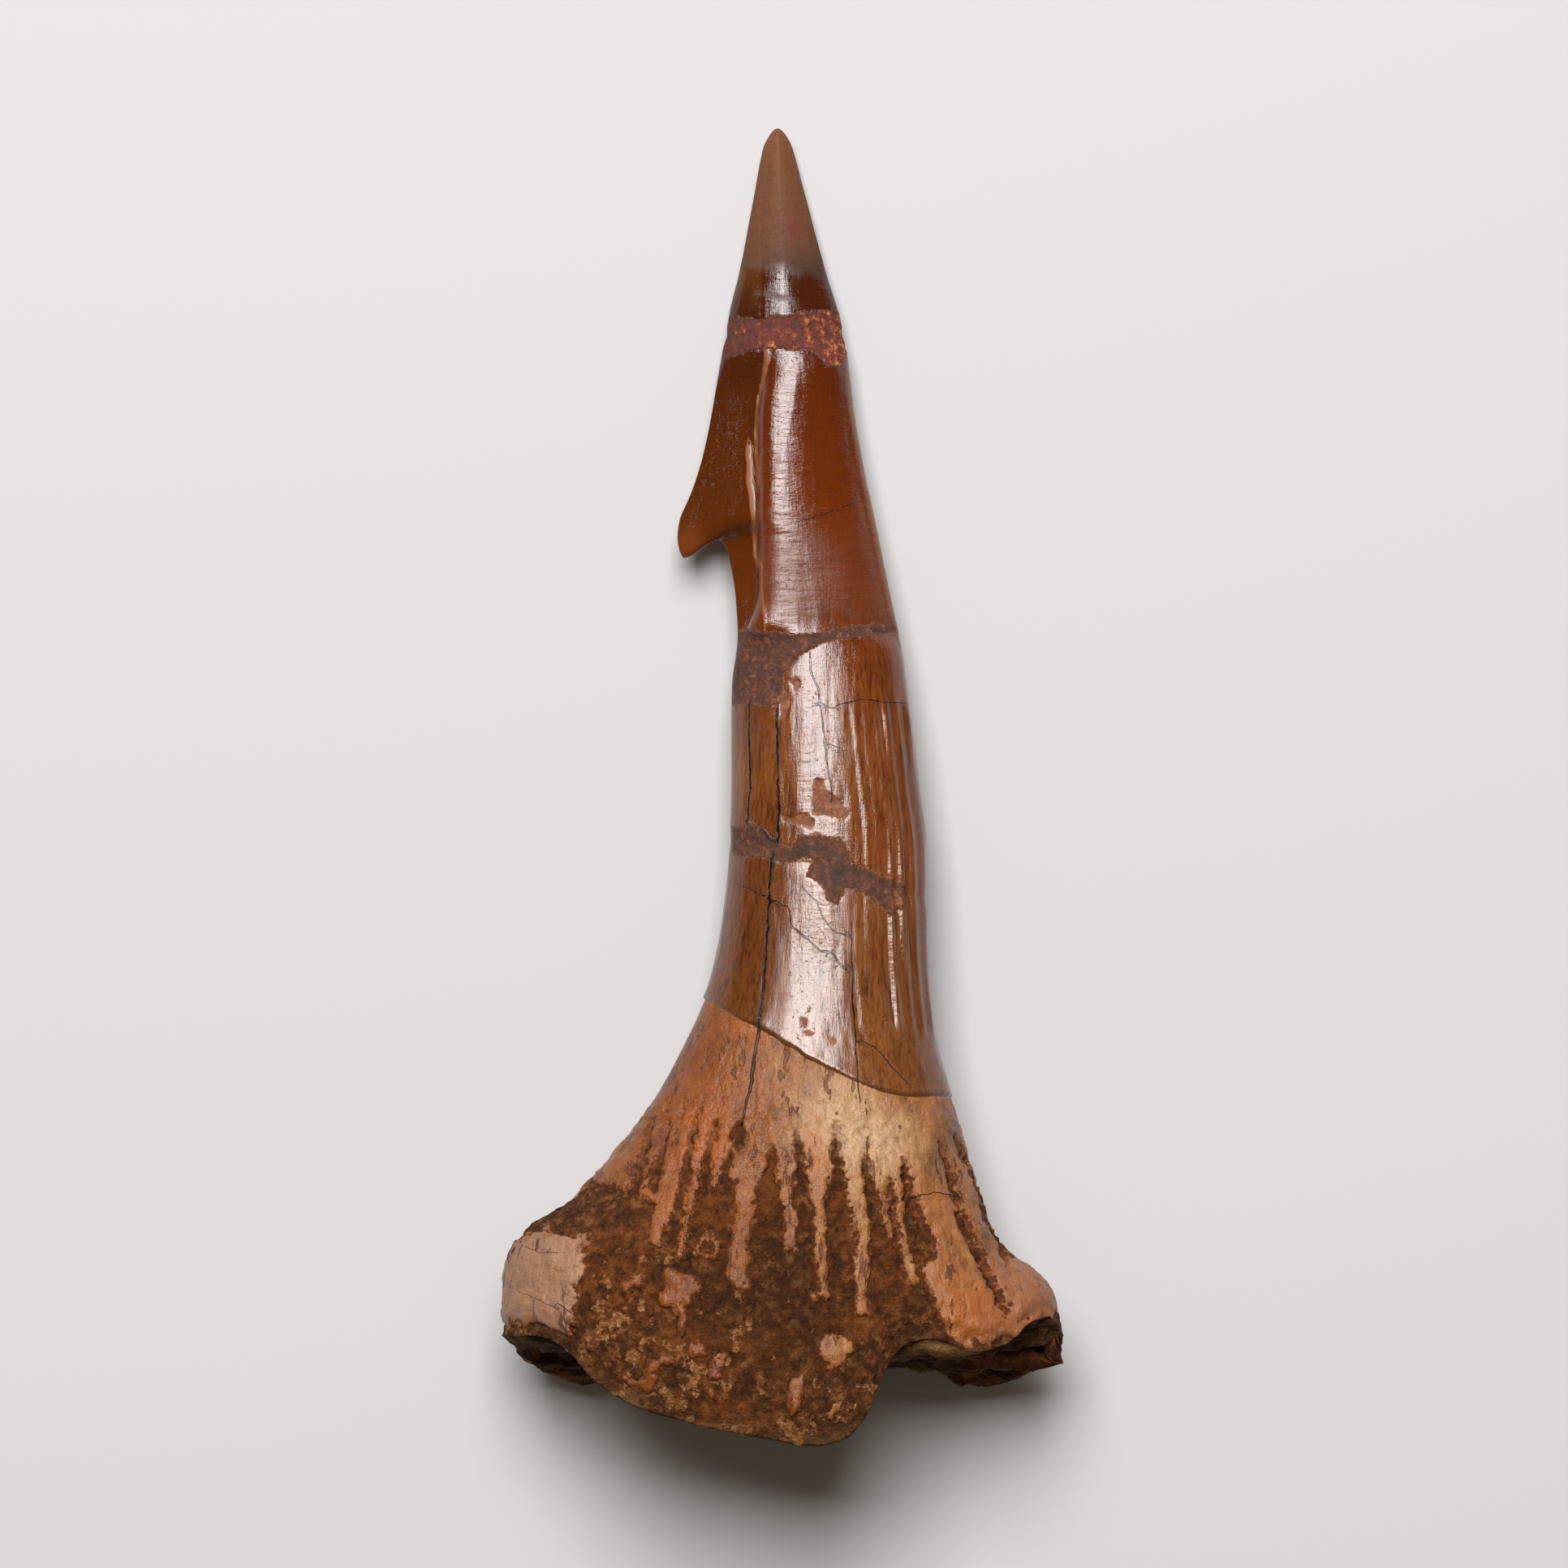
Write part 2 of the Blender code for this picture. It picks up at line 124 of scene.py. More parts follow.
# Round the barb, the left end of a row leaves the row: row, y
BARB_Y = [
    (16.5, 16.5), (15.04, 15.04), (13.75, 13.55), (13.2, 12.8), (12.75, 12.06), (12.35, 11.31),
    (12.05, 10.44), (11.85, 10.65), (11.65, 11.02), (11.4, 11.25), (11.0, 10.87), (10.5, 10.45),
    (9.9, 9.9), (8.4, 8.4),
]
BARB_ROWS = (15.04, 9.9)
BARB_ROOT_X = -1.4
BARB_BEND = 1.7
# The left edge as it would run without the barb
PLAIN_LEFT = [(16.5, -3.39), (14.5, -3.25), (12.5, -2.9), (11.0, -2.61), (9.9, -2.38)]
RIGHT_EDGE = [
    (30.15, 0.05), (29.2, 0.37), (27.9, 0.74), (23.4, 1.96), (21.0, 2.64), (16.5, 3.31), (10.6, 4.47),
    (4.6, 5.62), (0.0, 6.16), (-2.8, 6.48), (-7.3, 6.55), (-11.0, 6.85), (-14.2, 7.63), (-17.7, 8.67),
    (-20.7, 9.94), (-23.7, 12.17), (ROOT_END, 12.9),
]
# Half of the thickness, by row
HALF_DEPTH = [
    (TIP_Y - TIP_ROUND, TIP_HALF_DEPTH), (24.9, 0.99), (21.9, 1.27), (16.5, 1.75), (10.0, 2.2),
    (2.0, 2.7), (-6.0, 3.0), (-10.0, 3.25), (-13.0, 3.75), (-18.0, 5.15), (-21.0, 5.9),
    (-24.0, ROOT_HALF_DEPTH), (ROOT_END, ROOT_HALF_DEPTH - 0.35),
]
# Step from the shaft down to the thin blade of the barb
SHAFT_LEFT = [(24.0, -0.95), (19.0, -0.95), (16.5, -1.2), (9.0, -1.2), (7.4, -1.6), (5.5, -2.3)]
SHAFT_LEAN = 0.52
BLADE_ROWS = (20.8, 5.5)
BLADE_HALF_DEPTH = 1.4
BLADE_RISE = 0.37
BLADE_ROUNDING = 0.25
CARINA_WIDTH = 0.35
SHARP_ROWS = (18.5, 21.0)
# How the root's flare shares its width out, left to right
FAN = [(-1, -1), (-0.71, -0.4), (-0.13, 0.0), (0.25, 0.27), (0.62, 0.6), (0.855, 0.84), (1, 1)]
FAN_ROWS = (-13.5, -20.5)
# Below this row, rows bend more and more to the uneven rim
WARP_START = -16.0
WARP_POWER = 1.6
FRONT_RIM = [
    (-12.9, ROOT_END), (-11.5, -25.1), (-10.3, -25.5), (-9.3, -26.5), (-7.7, -27.8), (-4.3, -28.95),
    (-0.6, -29.7), (1.3, -30.0), (2.8, -29.65), (3.7, -28.7), (4.4, -27.4), (5.2, -26.1), (6.1, -25.35),
    (7.0, -25.2), (8.9, -25.75), (10.2, -25.4), (11.4, -24.4), (12.2, -24.2), (12.9, ROOT_END),
]
BACK_RIM = [
    (-12.9, ROOT_END), (-11.8, -26.6), (-10.3, -27.3), (-7.5, -27.8), (-2.5, -28.7), (1.5, -29.4),
    (3.2, -28.9), (4.4, -27.3), (5.2, -26.1), (6.1, -25.7), (7.0, -26.1), (7.8, -27.0), (9.3, -27.65),
    (10.6, -27.4), (11.6, -26.8), (12.7, -26.1), (12.9, ROOT_END),
]
# Broken underside: its middle, and how low it still reaches at each share of the way in
HOLLOW_MIDDLE = (-0.8, -26.3)
HOLLOW = [(0.0, 1.0), (0.05, 0.96), (0.17, 0.72), (0.4, 0.3), (0.7, 0.06), (1.0, 0.0)]
# Valley that runs down to the notch: its ends, width and depth
NOTCH_VALLEY = ((5.0, -19.5), (5.9, -26.0), 1.7, 0.8)

# Lower edge of the crown, on the front and on the back
COLLAR_FRONT = drawn([
    (871, 1225), (900, 1245), (935, 1262), (960, 1275), (1000, 1300), (1050, 1325), (1085, 1338),
    (1120, 1345), (1171, 1346),
])
COLLAR_BACK = [(-3.6, -9.8), (0.0, -11.4), (3.5, -12.6), (7.6, -14.3)]

# Cracks of the crown and the bone: half width, path
CRACKS = [(width, drawn(path)) for width, path in [
    (0.075, [(958, 872), (959, 958), (960, 1025), (957, 1036)]),
    (0.075, [
        (951, 1050), (948, 1100), (946, 1156), (941, 1215), (936, 1258), (935, 1266), (929, 1310),
        (924, 1338),
    ]),
    (0.05, [(924, 1338), (917, 1365), (912, 1393)]),
    (0.04, [(997, 800), (1000, 828), (1008, 847), (1014, 891), (1018, 930), (1024, 970), (1024, 985)]),
    (0.07, [(924, 867), (924, 919), (925, 966), (921, 1013)]),
    (0.035, [(1048, 1136), (1049, 1207), (1053, 1274), (1056, 1326), (1059, 1353)]),
    (0.045, [(972, 1116), (976, 1140), (994, 1152), (1010, 1168), (1026, 1172), (1041, 1191)]),
    (0.03, [(915, 1089), (946, 1104), (972, 1116)]),
    (0.03, [(990, 1092), (1006, 1108), (1014, 1128), (1026, 1144), (1045, 1152)]),
    (0.03, [(1160, 1274), (1164, 1330)]),
    (0.022, [(1061, 1278), (1077, 1286), (1105, 1318), (1116, 1330)]),
    (0.03, [(1002, 868), (1012, 866), (1030, 872)]),
    (0.025, [(1014, 912), (1030, 918)]),
    (0.05, [(939, 1020), (947, 1032), (956, 1036)]),
    (0.02, [(984, 641), (1010, 634), (1040, 622), (1069, 612)]),
    (0.03, [(1030, 868), (1060, 860), (1085, 863), (1112, 865)]),
    (0.022, [(690, 1598), (700, 1604), (711, 1612)]),
    (0.012, [(633, 1581), (655, 1590), (676, 1598), (692, 1606)]),
    (0.012, [(650, 1530), (668, 1538), (690, 1536)]),
    (0.025, [(1120, 1470), (1150, 1462), (1180, 1470)]),
]]
# Healed breaks, filled with rough red-brown mineral
BREAKS = [drawn(outline) for outline in [
    [
        (899, 388), (934, 391), (958, 388), (995, 382), (1038, 380), (1048, 424), (1036, 446),
        (1018, 448), (1005, 431), (968, 426), (926, 428), (888, 438), (893, 405),
    ],
    [
        (905, 773), (979, 781), (1000, 779), (1026, 773), (1101, 768), (1110, 776), (1032, 786),
        (995, 798), (979, 813), (966, 829), (960, 866), (900, 866), (900, 797),
    ],
    [
        (904, 1016), (930, 1011), (945, 1021), (958, 1037), (975, 1045), (985, 1031), (1010, 1027),
        (1035, 1033), (1046, 1046), (1049, 1062), (1070, 1071), (1090, 1080), (1113, 1087), (1113, 1116),
        (1096, 1126), (1080, 1111), (1065, 1094), (1041, 1090), (1031, 1112), (1019, 1105), (1014, 1084),
        (995, 1076), (1000, 1064), (1010, 1055), (985, 1053), (965, 1059), (950, 1055), (915, 1053),
        (902, 1046),
    ],
]]
# Places where a flake of the surface is lost
FLAKES = [drawn(outline) for outline in [
    [
        (1004, 958), (1012, 958), (1018, 974), (1035, 986), (1047, 1002), (1041, 1008), (1018, 1004),
        (1000, 1002), (1000, 986),
    ],
    [(986, 1248), (994, 1250), (996, 1260), (988, 1262)],
    [(1022, 1274), (1032, 1275), (1028, 1284)],
    [(960, 858), (968, 850), (974, 862), (970, 880), (962, 884)],
    [(972, 838), (980, 832), (986, 840), (980, 850)],
    [(962, 1002), (975, 1006), (990, 1000), (1003, 1010), (1000, 1020), (984, 1014), (966, 1012)],
    [(993, 1240), (998, 1236), (1000, 1243), (996, 1247)],
    [(989, 1262), (1003, 1268), (1000, 1274), (990, 1270)],
    [(1098, 1090), (1110, 1100), (1108, 1122), (1098, 1118)],
]]
# Orange lips where the shaft meets the blade of the barb: half width, path
LIPS = [(width, drawn(path)) for width, path in [
    (0.1, [(944, 426), (947, 442), (939, 474), (934, 501), (932, 532), (934, 569), (936, 596)]),
    (0.11, [(922, 548), (923, 591), (929, 633), (932, 681), (934, 694)]),
    (0.05, [(939, 691), (943, 781)]),
]]

# Furrows between the ridges of the bone: half width at the top and the foot, path
FURROWS = [(top, foot, drawn(path)) for top, foot, path in [
    (0.1, 0.22, [(803, 1376), (796, 1408), (786, 1442), (778, 1470)]),
    (0.1, 0.26, [(824, 1374), (815, 1410), (806, 1452)]),
    (0.13, 0.2, [(858, 1366), (852, 1400), (846, 1440), (836, 1482), (820, 1524)]),
    (0.13, 0.3, [(882, 1376), (874, 1410), (866, 1455), (852, 1520)]),
    (0.3, 0.3, [(909, 1388), (909, 1402)]),
    (0.08, 0.62, [(898, 1414), (893, 1450), (886, 1515)]),
    (0.16, 0.75, [(952, 1412), (948, 1450), (943, 1525)]),
    (0.1, 0.42, [(983, 1392), (988, 1440), (994, 1515)]),
    (0.05, 0.62, [(1029, 1376), (1031, 1440), (1033, 1510), (1037, 1590)]),
    (0.07, 0.5, [(1066, 1422), (1072, 1460), (1082, 1512), (1090, 1564)]),
    (0.05, 0.16, [(1096, 1448), (1103, 1518)]),
    (0.12, 0.55, [(1112, 1434), (1122, 1480), (1138, 1534)]),
    (0.12, 0.2, [(1158, 1400), (1172, 1450), (1185, 1498), (1213, 1559), (1238, 1604)]),
    (0.05, 0.12, [(1176, 1395), (1196, 1440), (1216, 1492), (1240, 1545)]),
    (0.04, 0.08, [(836, 1290), (830, 1330), (818, 1372)]),
    (0.04, 0.07, [(868, 1310), (862, 1350)]),
    (0.06, 0.1, [(846, 1330), (838, 1372)]),
]]
# Bone ridges that stand out of the sediment: half width at the top and the foot, path
RIDGES = [(top, foot, drawn(path)) for top, foot, path in [
    (0.42, 0.3, [(789, 1380), (781, 1425), (772, 1458)]),
    (0.2, 0.15, [(812, 1380), (803, 1438)]),
    (0.48, 0.4, [(840, 1370), (838, 1385), (826, 1451), (810, 1517)]),
    (0.36, 0.26, [(869, 1385), (857, 1451), (848, 1493), (838, 1536)]),
    (0.28, 0.2, [(890, 1390), (881, 1452)]),
    (0.52, 0.5, [(927, 1370), (925, 1389), (921, 1451), (914, 1512), (911, 1566)]),
    (0.34, 0.3, [(966, 1370), (966, 1389), (968, 1451), (975, 1526)]),
    (0.42, 0.3, [(996, 1370), (1006, 1451), (1010, 1512), (1015, 1583)]),
    (0.62, 0.25, [(1039, 1370), (1055, 1451), (1063, 1512), (1060, 1569), (1062, 1606)]),
    (0.3, 0.25, [(1077, 1390), (1086, 1465), (1091, 1512)]),
    (0.26, 0.26, [(1100, 1450), (1110, 1517), (1124, 1569)]),
    (0.7, 1.2, [(1131, 1400), (1147, 1512), (1170, 1570), (1197, 1628)]),
    (0.9, 1.9, [(1180, 1400), (1212, 1503), (1262, 1590)]),
]]
# Other places where bone shows through the sediment
BARE_BONE = [drawn(outline) for outline in [
    [
        (633, 1526), (646, 1516), (664, 1509), (689, 1511), (710, 1512), (730, 1509), (725, 1525),
        (722, 1539), (720, 1551), (721, 1569), (712, 1574), (714, 1590), (710, 1602), (712, 1623),
        (706, 1627), (706, 1639), (694, 1637), (684, 1633), (674, 1629), (661, 1623), (651, 1628),
        (641, 1630), (633, 1625), (622, 1633), (606, 1633), (606, 1546), (625, 1546),
    ],
    [(664, 1500), (675, 1497), (682, 1505), (676, 1511), (664, 1510)],
    [(786, 1537), (795, 1539), (796, 1553), (788, 1552)],
    [(763, 1575), (775, 1565), (790, 1558), (797, 1562), (795, 1575), (780, 1580), (768, 1583)],
    [(767, 1600), (775, 1585), (779, 1592), (777, 1603), (768, 1608)],
    [
        (818, 1548), (832, 1555), (850, 1563), (869, 1573), (868, 1582), (855, 1590), (850, 1600),
        (842, 1600), (848, 1615), (847, 1632), (840, 1637), (836, 1620), (832, 1605), (822, 1600),
        (808, 1592), (815, 1585), (818, 1570),
    ],
    [(751, 1632), (765, 1630), (768, 1640), (760, 1647), (752, 1643)],
    [(720, 1640), (732, 1640), (733, 1650), (728, 1660), (722, 1655)],
    [(848, 1645), (860, 1643), (872, 1652), (872, 1662), (860, 1660), (850, 1663)],
    [
        (753, 1660), (760, 1670), (770, 1690), (790, 1688), (800, 1668), (812, 1657), (832, 1658),
        (834, 1668), (815, 1675), (808, 1685), (804, 1700), (795, 1712), (788, 1700), (775, 1699),
        (762, 1682),
    ],
    [(868, 1680), (880, 1670), (890, 1655), (898, 1660), (893, 1672), (885, 1685), (872, 1687)],
    [(872, 1695), (880, 1705), (883, 1718), (875, 1712)],
    [
        (975, 1690), (985, 1680), (992, 1695), (988, 1720), (985, 1735), (972, 1735), (974, 1715),
        (970, 1705),
    ],
    [(660, 1665), (668, 1660), (669, 1672), (662, 1680)],
    [(745, 1705), (757, 1705), (768, 1718), (762, 1722), (748, 1714)],
    [(944, 1745), (953, 1750), (952, 1762), (946, 1758)],
    [
        (1007, 1638), (1021, 1633), (1042, 1633), (1053, 1644), (1050, 1655), (1042, 1659), (1039, 1674),
        (1027, 1678), (1019, 1671), (1013, 1661), (1005, 1648),
    ],
    [(1027, 1716), (1038, 1714), (1037, 1728), (1023, 1739), (1017, 1733), (1024, 1726)],
    [(1045, 1718), (1069, 1718), (1066, 1732), (1056, 1750), (1048, 1757), (1046, 1735)],
    [(1135, 1621), (1150, 1618), (1160, 1628), (1145, 1630)],
    [(1126, 1640), (1135, 1630), (1145, 1640), (1138, 1646), (1127, 1643)],
    [(905, 1562), (925, 1566), (928, 1580), (914, 1582)],
    [(998, 1580), (1010, 1584), (1006, 1594), (998, 1590)],
]]
# Soft spots of the crown
WORN_SHAFT = spots((962, 1215, 12, 60), (930, 900, 16, 40))
BARB_TIP = spots((848, 668, 16, 18))
RED_SPOT = spots((976, 278, 7, 14))
DARK_BREAKS = spots(
    (1040, 1072, 20, 12), (947, 1033, 8, 8), (984, 1048, 14, 10), (903, 830, 10, 20), (975, 780, 14, 8),
)
# A ring of bone: x, y, radius and half width
BONE_RING = (*drawn([(874, 1526)])[0], 0.46, 0.15)
# Upper limit of the sediment, on the front and on the back
BONE_LINE = [(-13.5, -17.6), *drawn([
    (700, 1436), (727, 1448), (745, 1453), (779, 1463), (800, 1472), (830, 1474), (860, 1462),
    (890, 1446), (925, 1444), (965, 1448), (1000, 1454), (1035, 1448), (1060, 1462), (1090, 1470),
    (1108, 1474), (1122, 1500), (1140, 1566), (1166, 1622), (1190, 1643), (1228, 1643), (1261, 1624),
    (1298, 1608), (1330, 1600),
])]
BACK_BONE_LINE = [
    (-13.5, -20.0), (-9.0, -21.0), (-6.5, -26.0), (-5.0, -32.0), (6.0, -32.0), (7.5, -26.5), (9.5, -22.5),
    (13.5, -22.0),
]

# Soft spots of the bone and of the sediment
RUST_SPOTS = spots(
    (1192, 1600, 34, 30), (925, 1264, 26, 12), (835, 1500, 30, 40), (872, 1395, 40, 60),
    (1010, 1420, 14, 30),
)
DARK_STAINS = spots(
    (1152, 1420, 14, 26), (1175, 1385, 16, 26), (914, 1395, 8, 34), (700, 1490, 26, 12),
    (1215, 1500, 10, 40),
)
# Cream spots: the bone's own tone; the two large ones at the root's top are also a painted sheen
IVORY_AND_SHEEN_SPOTS = spots((716, 1595, 10, 40), (1035, 1385, 48, 52), (1085, 1400, 40, 40))
ROSE_SPOTS = spots(
    (1250, 1570, 40, 36), (1190, 1440, 30, 50), (1235, 1600, 30, 24), (1120, 1360, 40, 10),
    (1210, 1640, 40, 10),
)
RUSTY_SEDIMENT = spots(
    (770, 1560, 40, 60), (860, 1650, 60, 30), (1095, 1560, 30, 36), (945, 1460, 16, 44),
    (1030, 1500, 16, 50), (640, 1640, 20, 16), (730, 1580, 26, 20), (880, 1490, 30, 50),
    (900, 1740, 60, 20), (1060, 1610, 40, 16),
)
GREY_SEDIMENT = spots((970, 1600, 50, 60), (880, 1600, 40, 40), (650, 1655, 30, 24), (960, 1530, 20, 30))
# Stains of the bone and of the sediment: attribute, colour and strength
BONE_STAINS = (
    # Cream stain of the bone, which at the root's top is also a painted sheen
    ("ivory_and_sheen", "#ccaa84", 0.7),
    ("rose", "#946044", 0.6),
    ("pale", "#a27c62", 0.8),
    ("rust", "#a4581c", 0.75),
    ("stain", "#4e3a2c", 0.7),
)
CRUST_STAINS = (("rusty", "#84451a", 0.55), ("grey", "#38240f", 0.35))

# Settings that many nodes share, and the scale that turns metres to millimetres
BLEND = {"out": 2, "data_type": "RGBA"}
SMOOTH = {"interpolation_type": "SMOOTHSTEP"}
TIMES = {"operation": "MULTIPLY"}
TIMES_PLUS = {"operation": "MULTIPLY_ADD"}
AWAY = {"operation": "ABSOLUTE"}
TO_MM = (1000, 1000, 1000)

SOFTBOX_PLACE = (-0.046, 0.275, 0.5)
SOFTBOX_SIZE = (0.31, 0.36)
SOFTBOX_WATTS = 4.6
WORLD_STRENGTH = 0.16
TABLE_HALF_WIDTH = 1.5
LENS = 300
SENSOR_WIDTH = 36
# The picture is this wide at the height of the tooth's edges
PICTURE_WIDTH = 0.0719
EDGE_HEIGHT = 0.0035


def linear(code):
    """An sRGB hex colour as linear red, green, blue and alpha."""
    parts = [int(code[i:i + 2], 16) / 255 for i in (1, 3, 5)]
    return tuple(c / 12.92 if c <= 0.04045 else ((c + 0.055) / 1.055) ** 2.4 for c in parts) + (1.0,)


def curve(points, at):
    """Smooth curve through (position, value) points that never overshoots them."""
    x, y = np.array(sorted(points), float).T
    step = np.diff(x)
    slope = np.diff(y) / step
    tangent = np.zeros(len(x))
    same_way = slope[1:] * slope[:-1] > 0
    w1 = 2 * step[1:] + step[:-1]
    w2 = step[1:] + 2 * step[:-1]
    with np.errstate(divide="ignore", invalid="ignore"):
        mean = (w1 + w2) / (w1 / slope[:-1] + w2 / slope[1:])
    tangent[1:-1] = np.where(same_way, mean, 0.0)
    tangent[0], tangent[-1] = slope[0], slope[-1]
    inside = np.clip(np.asarray(at, float), x[0], x[-1])
    i = np.clip(np.searchsorted(x, inside, side="right") - 1, 0, len(x) - 2)
    t = (inside - x[i]) / step[i]
    rise = (1 + 2 * t) * (1 - t) ** 2 * y[i] + t * t * (3 - 2 * t) * y[i + 1]
    return rise + step[i] * (t * (1 - t) ** 2 * tangent[i] + t * t * (t - 1) * tangent[i + 1])


def ease(value, low, high):
    """0 below low, 1 above high, and a smooth rise between them."""
    t = np.clip((value - low) / (high - low), 0, 1)
    return t * t * (3 - 2 * t)


def bell(away, width):
    """1 where away is 0, falling smoothly to nearly 0 at twice the width."""
    return np.exp(-((away / width) ** 2))


def lattice(i, seed):
    """A fixed pseudo-random number from 0 to 1 for each whole-number point."""
    mixed = i[..., 0] * 374761393 + i[..., 1] * 668265263 + i[..., 2] * 1274126177 + seed * 974711
    mixed = ((mixed & 0xFFFFFFFF) ^ ((mixed & 0xFFFFFFFF) >> 13)) * 1103515245 & 0xFFFFFFFF
    mixed = (mixed ^ (mixed >> 15)) * 2246822519 & 0xFFFFFFFF
    return (mixed ^ (mixed >> 16) & 0xFFFF) / 0xFFFFFFFF


def noise(points, size, seed=0):
    """Smooth noise from about -1 to 1. Size is the width of a bump, one number or one per axis."""
    scaled = points / np.asarray(size, float)
    cell = np.floor(scaled).astype(np.int64)
    part = scaled - cell
    fade = part * part * (3 - 2 * part)
    total = np.zeros(points.shape[:-1])
    for corner in itertools.product((0, 1), repeat=3):
        weight = np.prod(np.where(np.array(corner) == 1, fade, 1 - fade), axis=-1)
        total += weight * lattice(cell + corner, seed)
    return total * 2 - 1


def layered(points, size, layers, seed=0):
    """Noise with finer and weaker noise on top: each layer is half as wide and half as strong."""
    total = np.zeros(points.shape[:-1])
    for k in range(layers):
        total += noise(points, np.asarray(size, float) / 2**k, seed + 17 * k) / 2**k
    return total


def grains(points, size, seed=0):
    """Rounded grains: height 1 at the middle of each scattered grain, 0 between grains."""
    scaled = points / size
    cell = np.floor(scaled).astype(np.int64)
    nearest = np.full(points.shape[:-1], 9.0)
    for step in itertools.product((-1, 0, 1), repeat=3):
        other = cell + step
        middle = np.stack([lattice(other, seed + k) for k in range(3)], axis=-1) + other
        nearest = np.minimum(nearest, np.linalg.norm(scaled - middle, axis=-1))
    return np.clip(1 - nearest**2 * 1.6, 0, 1)


def beside_line(x, y, start, end):
    """The share of the way along a straight line, and the distance from it, negative on its right."""
    dx, dy = end[0] - start[0], end[1] - start[1]
    share = np.clip(((x - start[0]) * dx + (y - start[1]) * dy) / (dx * dx + dy * dy), 0, 1)
    off_x, off_y = x - start[0] - share * dx, y - start[1] - share * dy
    away = np.hypot(off_x, off_y)
    return share, np.where(dx * off_y - dy * off_x < 0, -away, away)


def path_field(x, y, paths):
    """Signed distance to the nearest path, in half widths of that path. It is 0 on the path."""
    best = np.full(x.shape, FAR)
    for half_width, points in paths:
        for start, end in zip(points, points[1:]):
            away = beside_line(x, y, start, end)[1] / half_width
            best = np.where(np.abs(away) < np.abs(best), away, best)
    return best


def area_field(x, y, outlines):
    """Distance to the edge of the nearest outline, positive inside it and negative outside."""
    best = np.full(x.shape, -FAR)
    for outline in outlines:
        edge = np.full(x.shape, FAR)
        inside = np.zeros(x.shape, bool)
        for start, end in zip(outline, outline[1:] + outline[:1]):
            edge = np.minimum(edge, np.abs(beside_line(x, y, start, end)[1]))
            (x1, y1), (x2, y2) = start, end
            if y1 != y2:
                inside ^= ((y1 > y) != (y2 > y)) & (x < x1 + (y - y1) * (x2 - x1) / (y2 - y1))
        best = np.maximum(best, np.where(inside, edge, -edge))
    return best


def tapered_field(x, y, ridges):
    """Distance inside the nearest ridge, whose width changes evenly from its top to its foot."""
    best = np.full(x.shape, -FAR)
    for top, foot, points in ridges:
        lengths = [math.dist(a, b) for a, b in zip(points, points[1:])]
        done = 0.0
        for start, end, length in zip(points, points[1:], lengths):
            share, away = beside_line(x, y, start, end)
            width = top + (foot - top) * (done + share * length) / sum(lengths)
            best = np.maximum(best, width - np.abs(away))
            done += length
    return best


def tip_taper(rows):
    """Rounds the last stretch of the crown off to a point, as a quarter of an ellipse."""
    into = np.clip((rows - (TIP_Y - TIP_ROUND)) / TIP_ROUND, 0, 1)
    return np.sqrt(1 - into**2)


def middle_height(rows):
    """Height of the tooth's middle plane: it falls evenly from the thick root to the tip."""
    fall = (ROOT_HALF_DEPTH - WORN_DEPTH - TIP_HALF_DEPTH) / (TIP_ROW - ROOT_ROW)
    return TIP_HALF_DEPTH + (TIP_ROW - rows) * fall


def half_ellipse(x, middle, half_width, half_depth, power=2.0):
    """Height of half an ellipse over its middle line. A power below 2 gives it a sharper top."""
    u = np.clip(np.abs(x - middle) / half_width, 0, 1)
    return half_depth * (1 - u**power) ** (1 / power)


def leaning_arch(x, left, right, depth, power):
    """Half an ellipse whose way across is raised to a power: below 1 its top leans to the left."""
    share = np.clip((x - left) / (right - left), 0, 1) ** power
    return depth * 2 * np.sqrt(share * (1 - share))


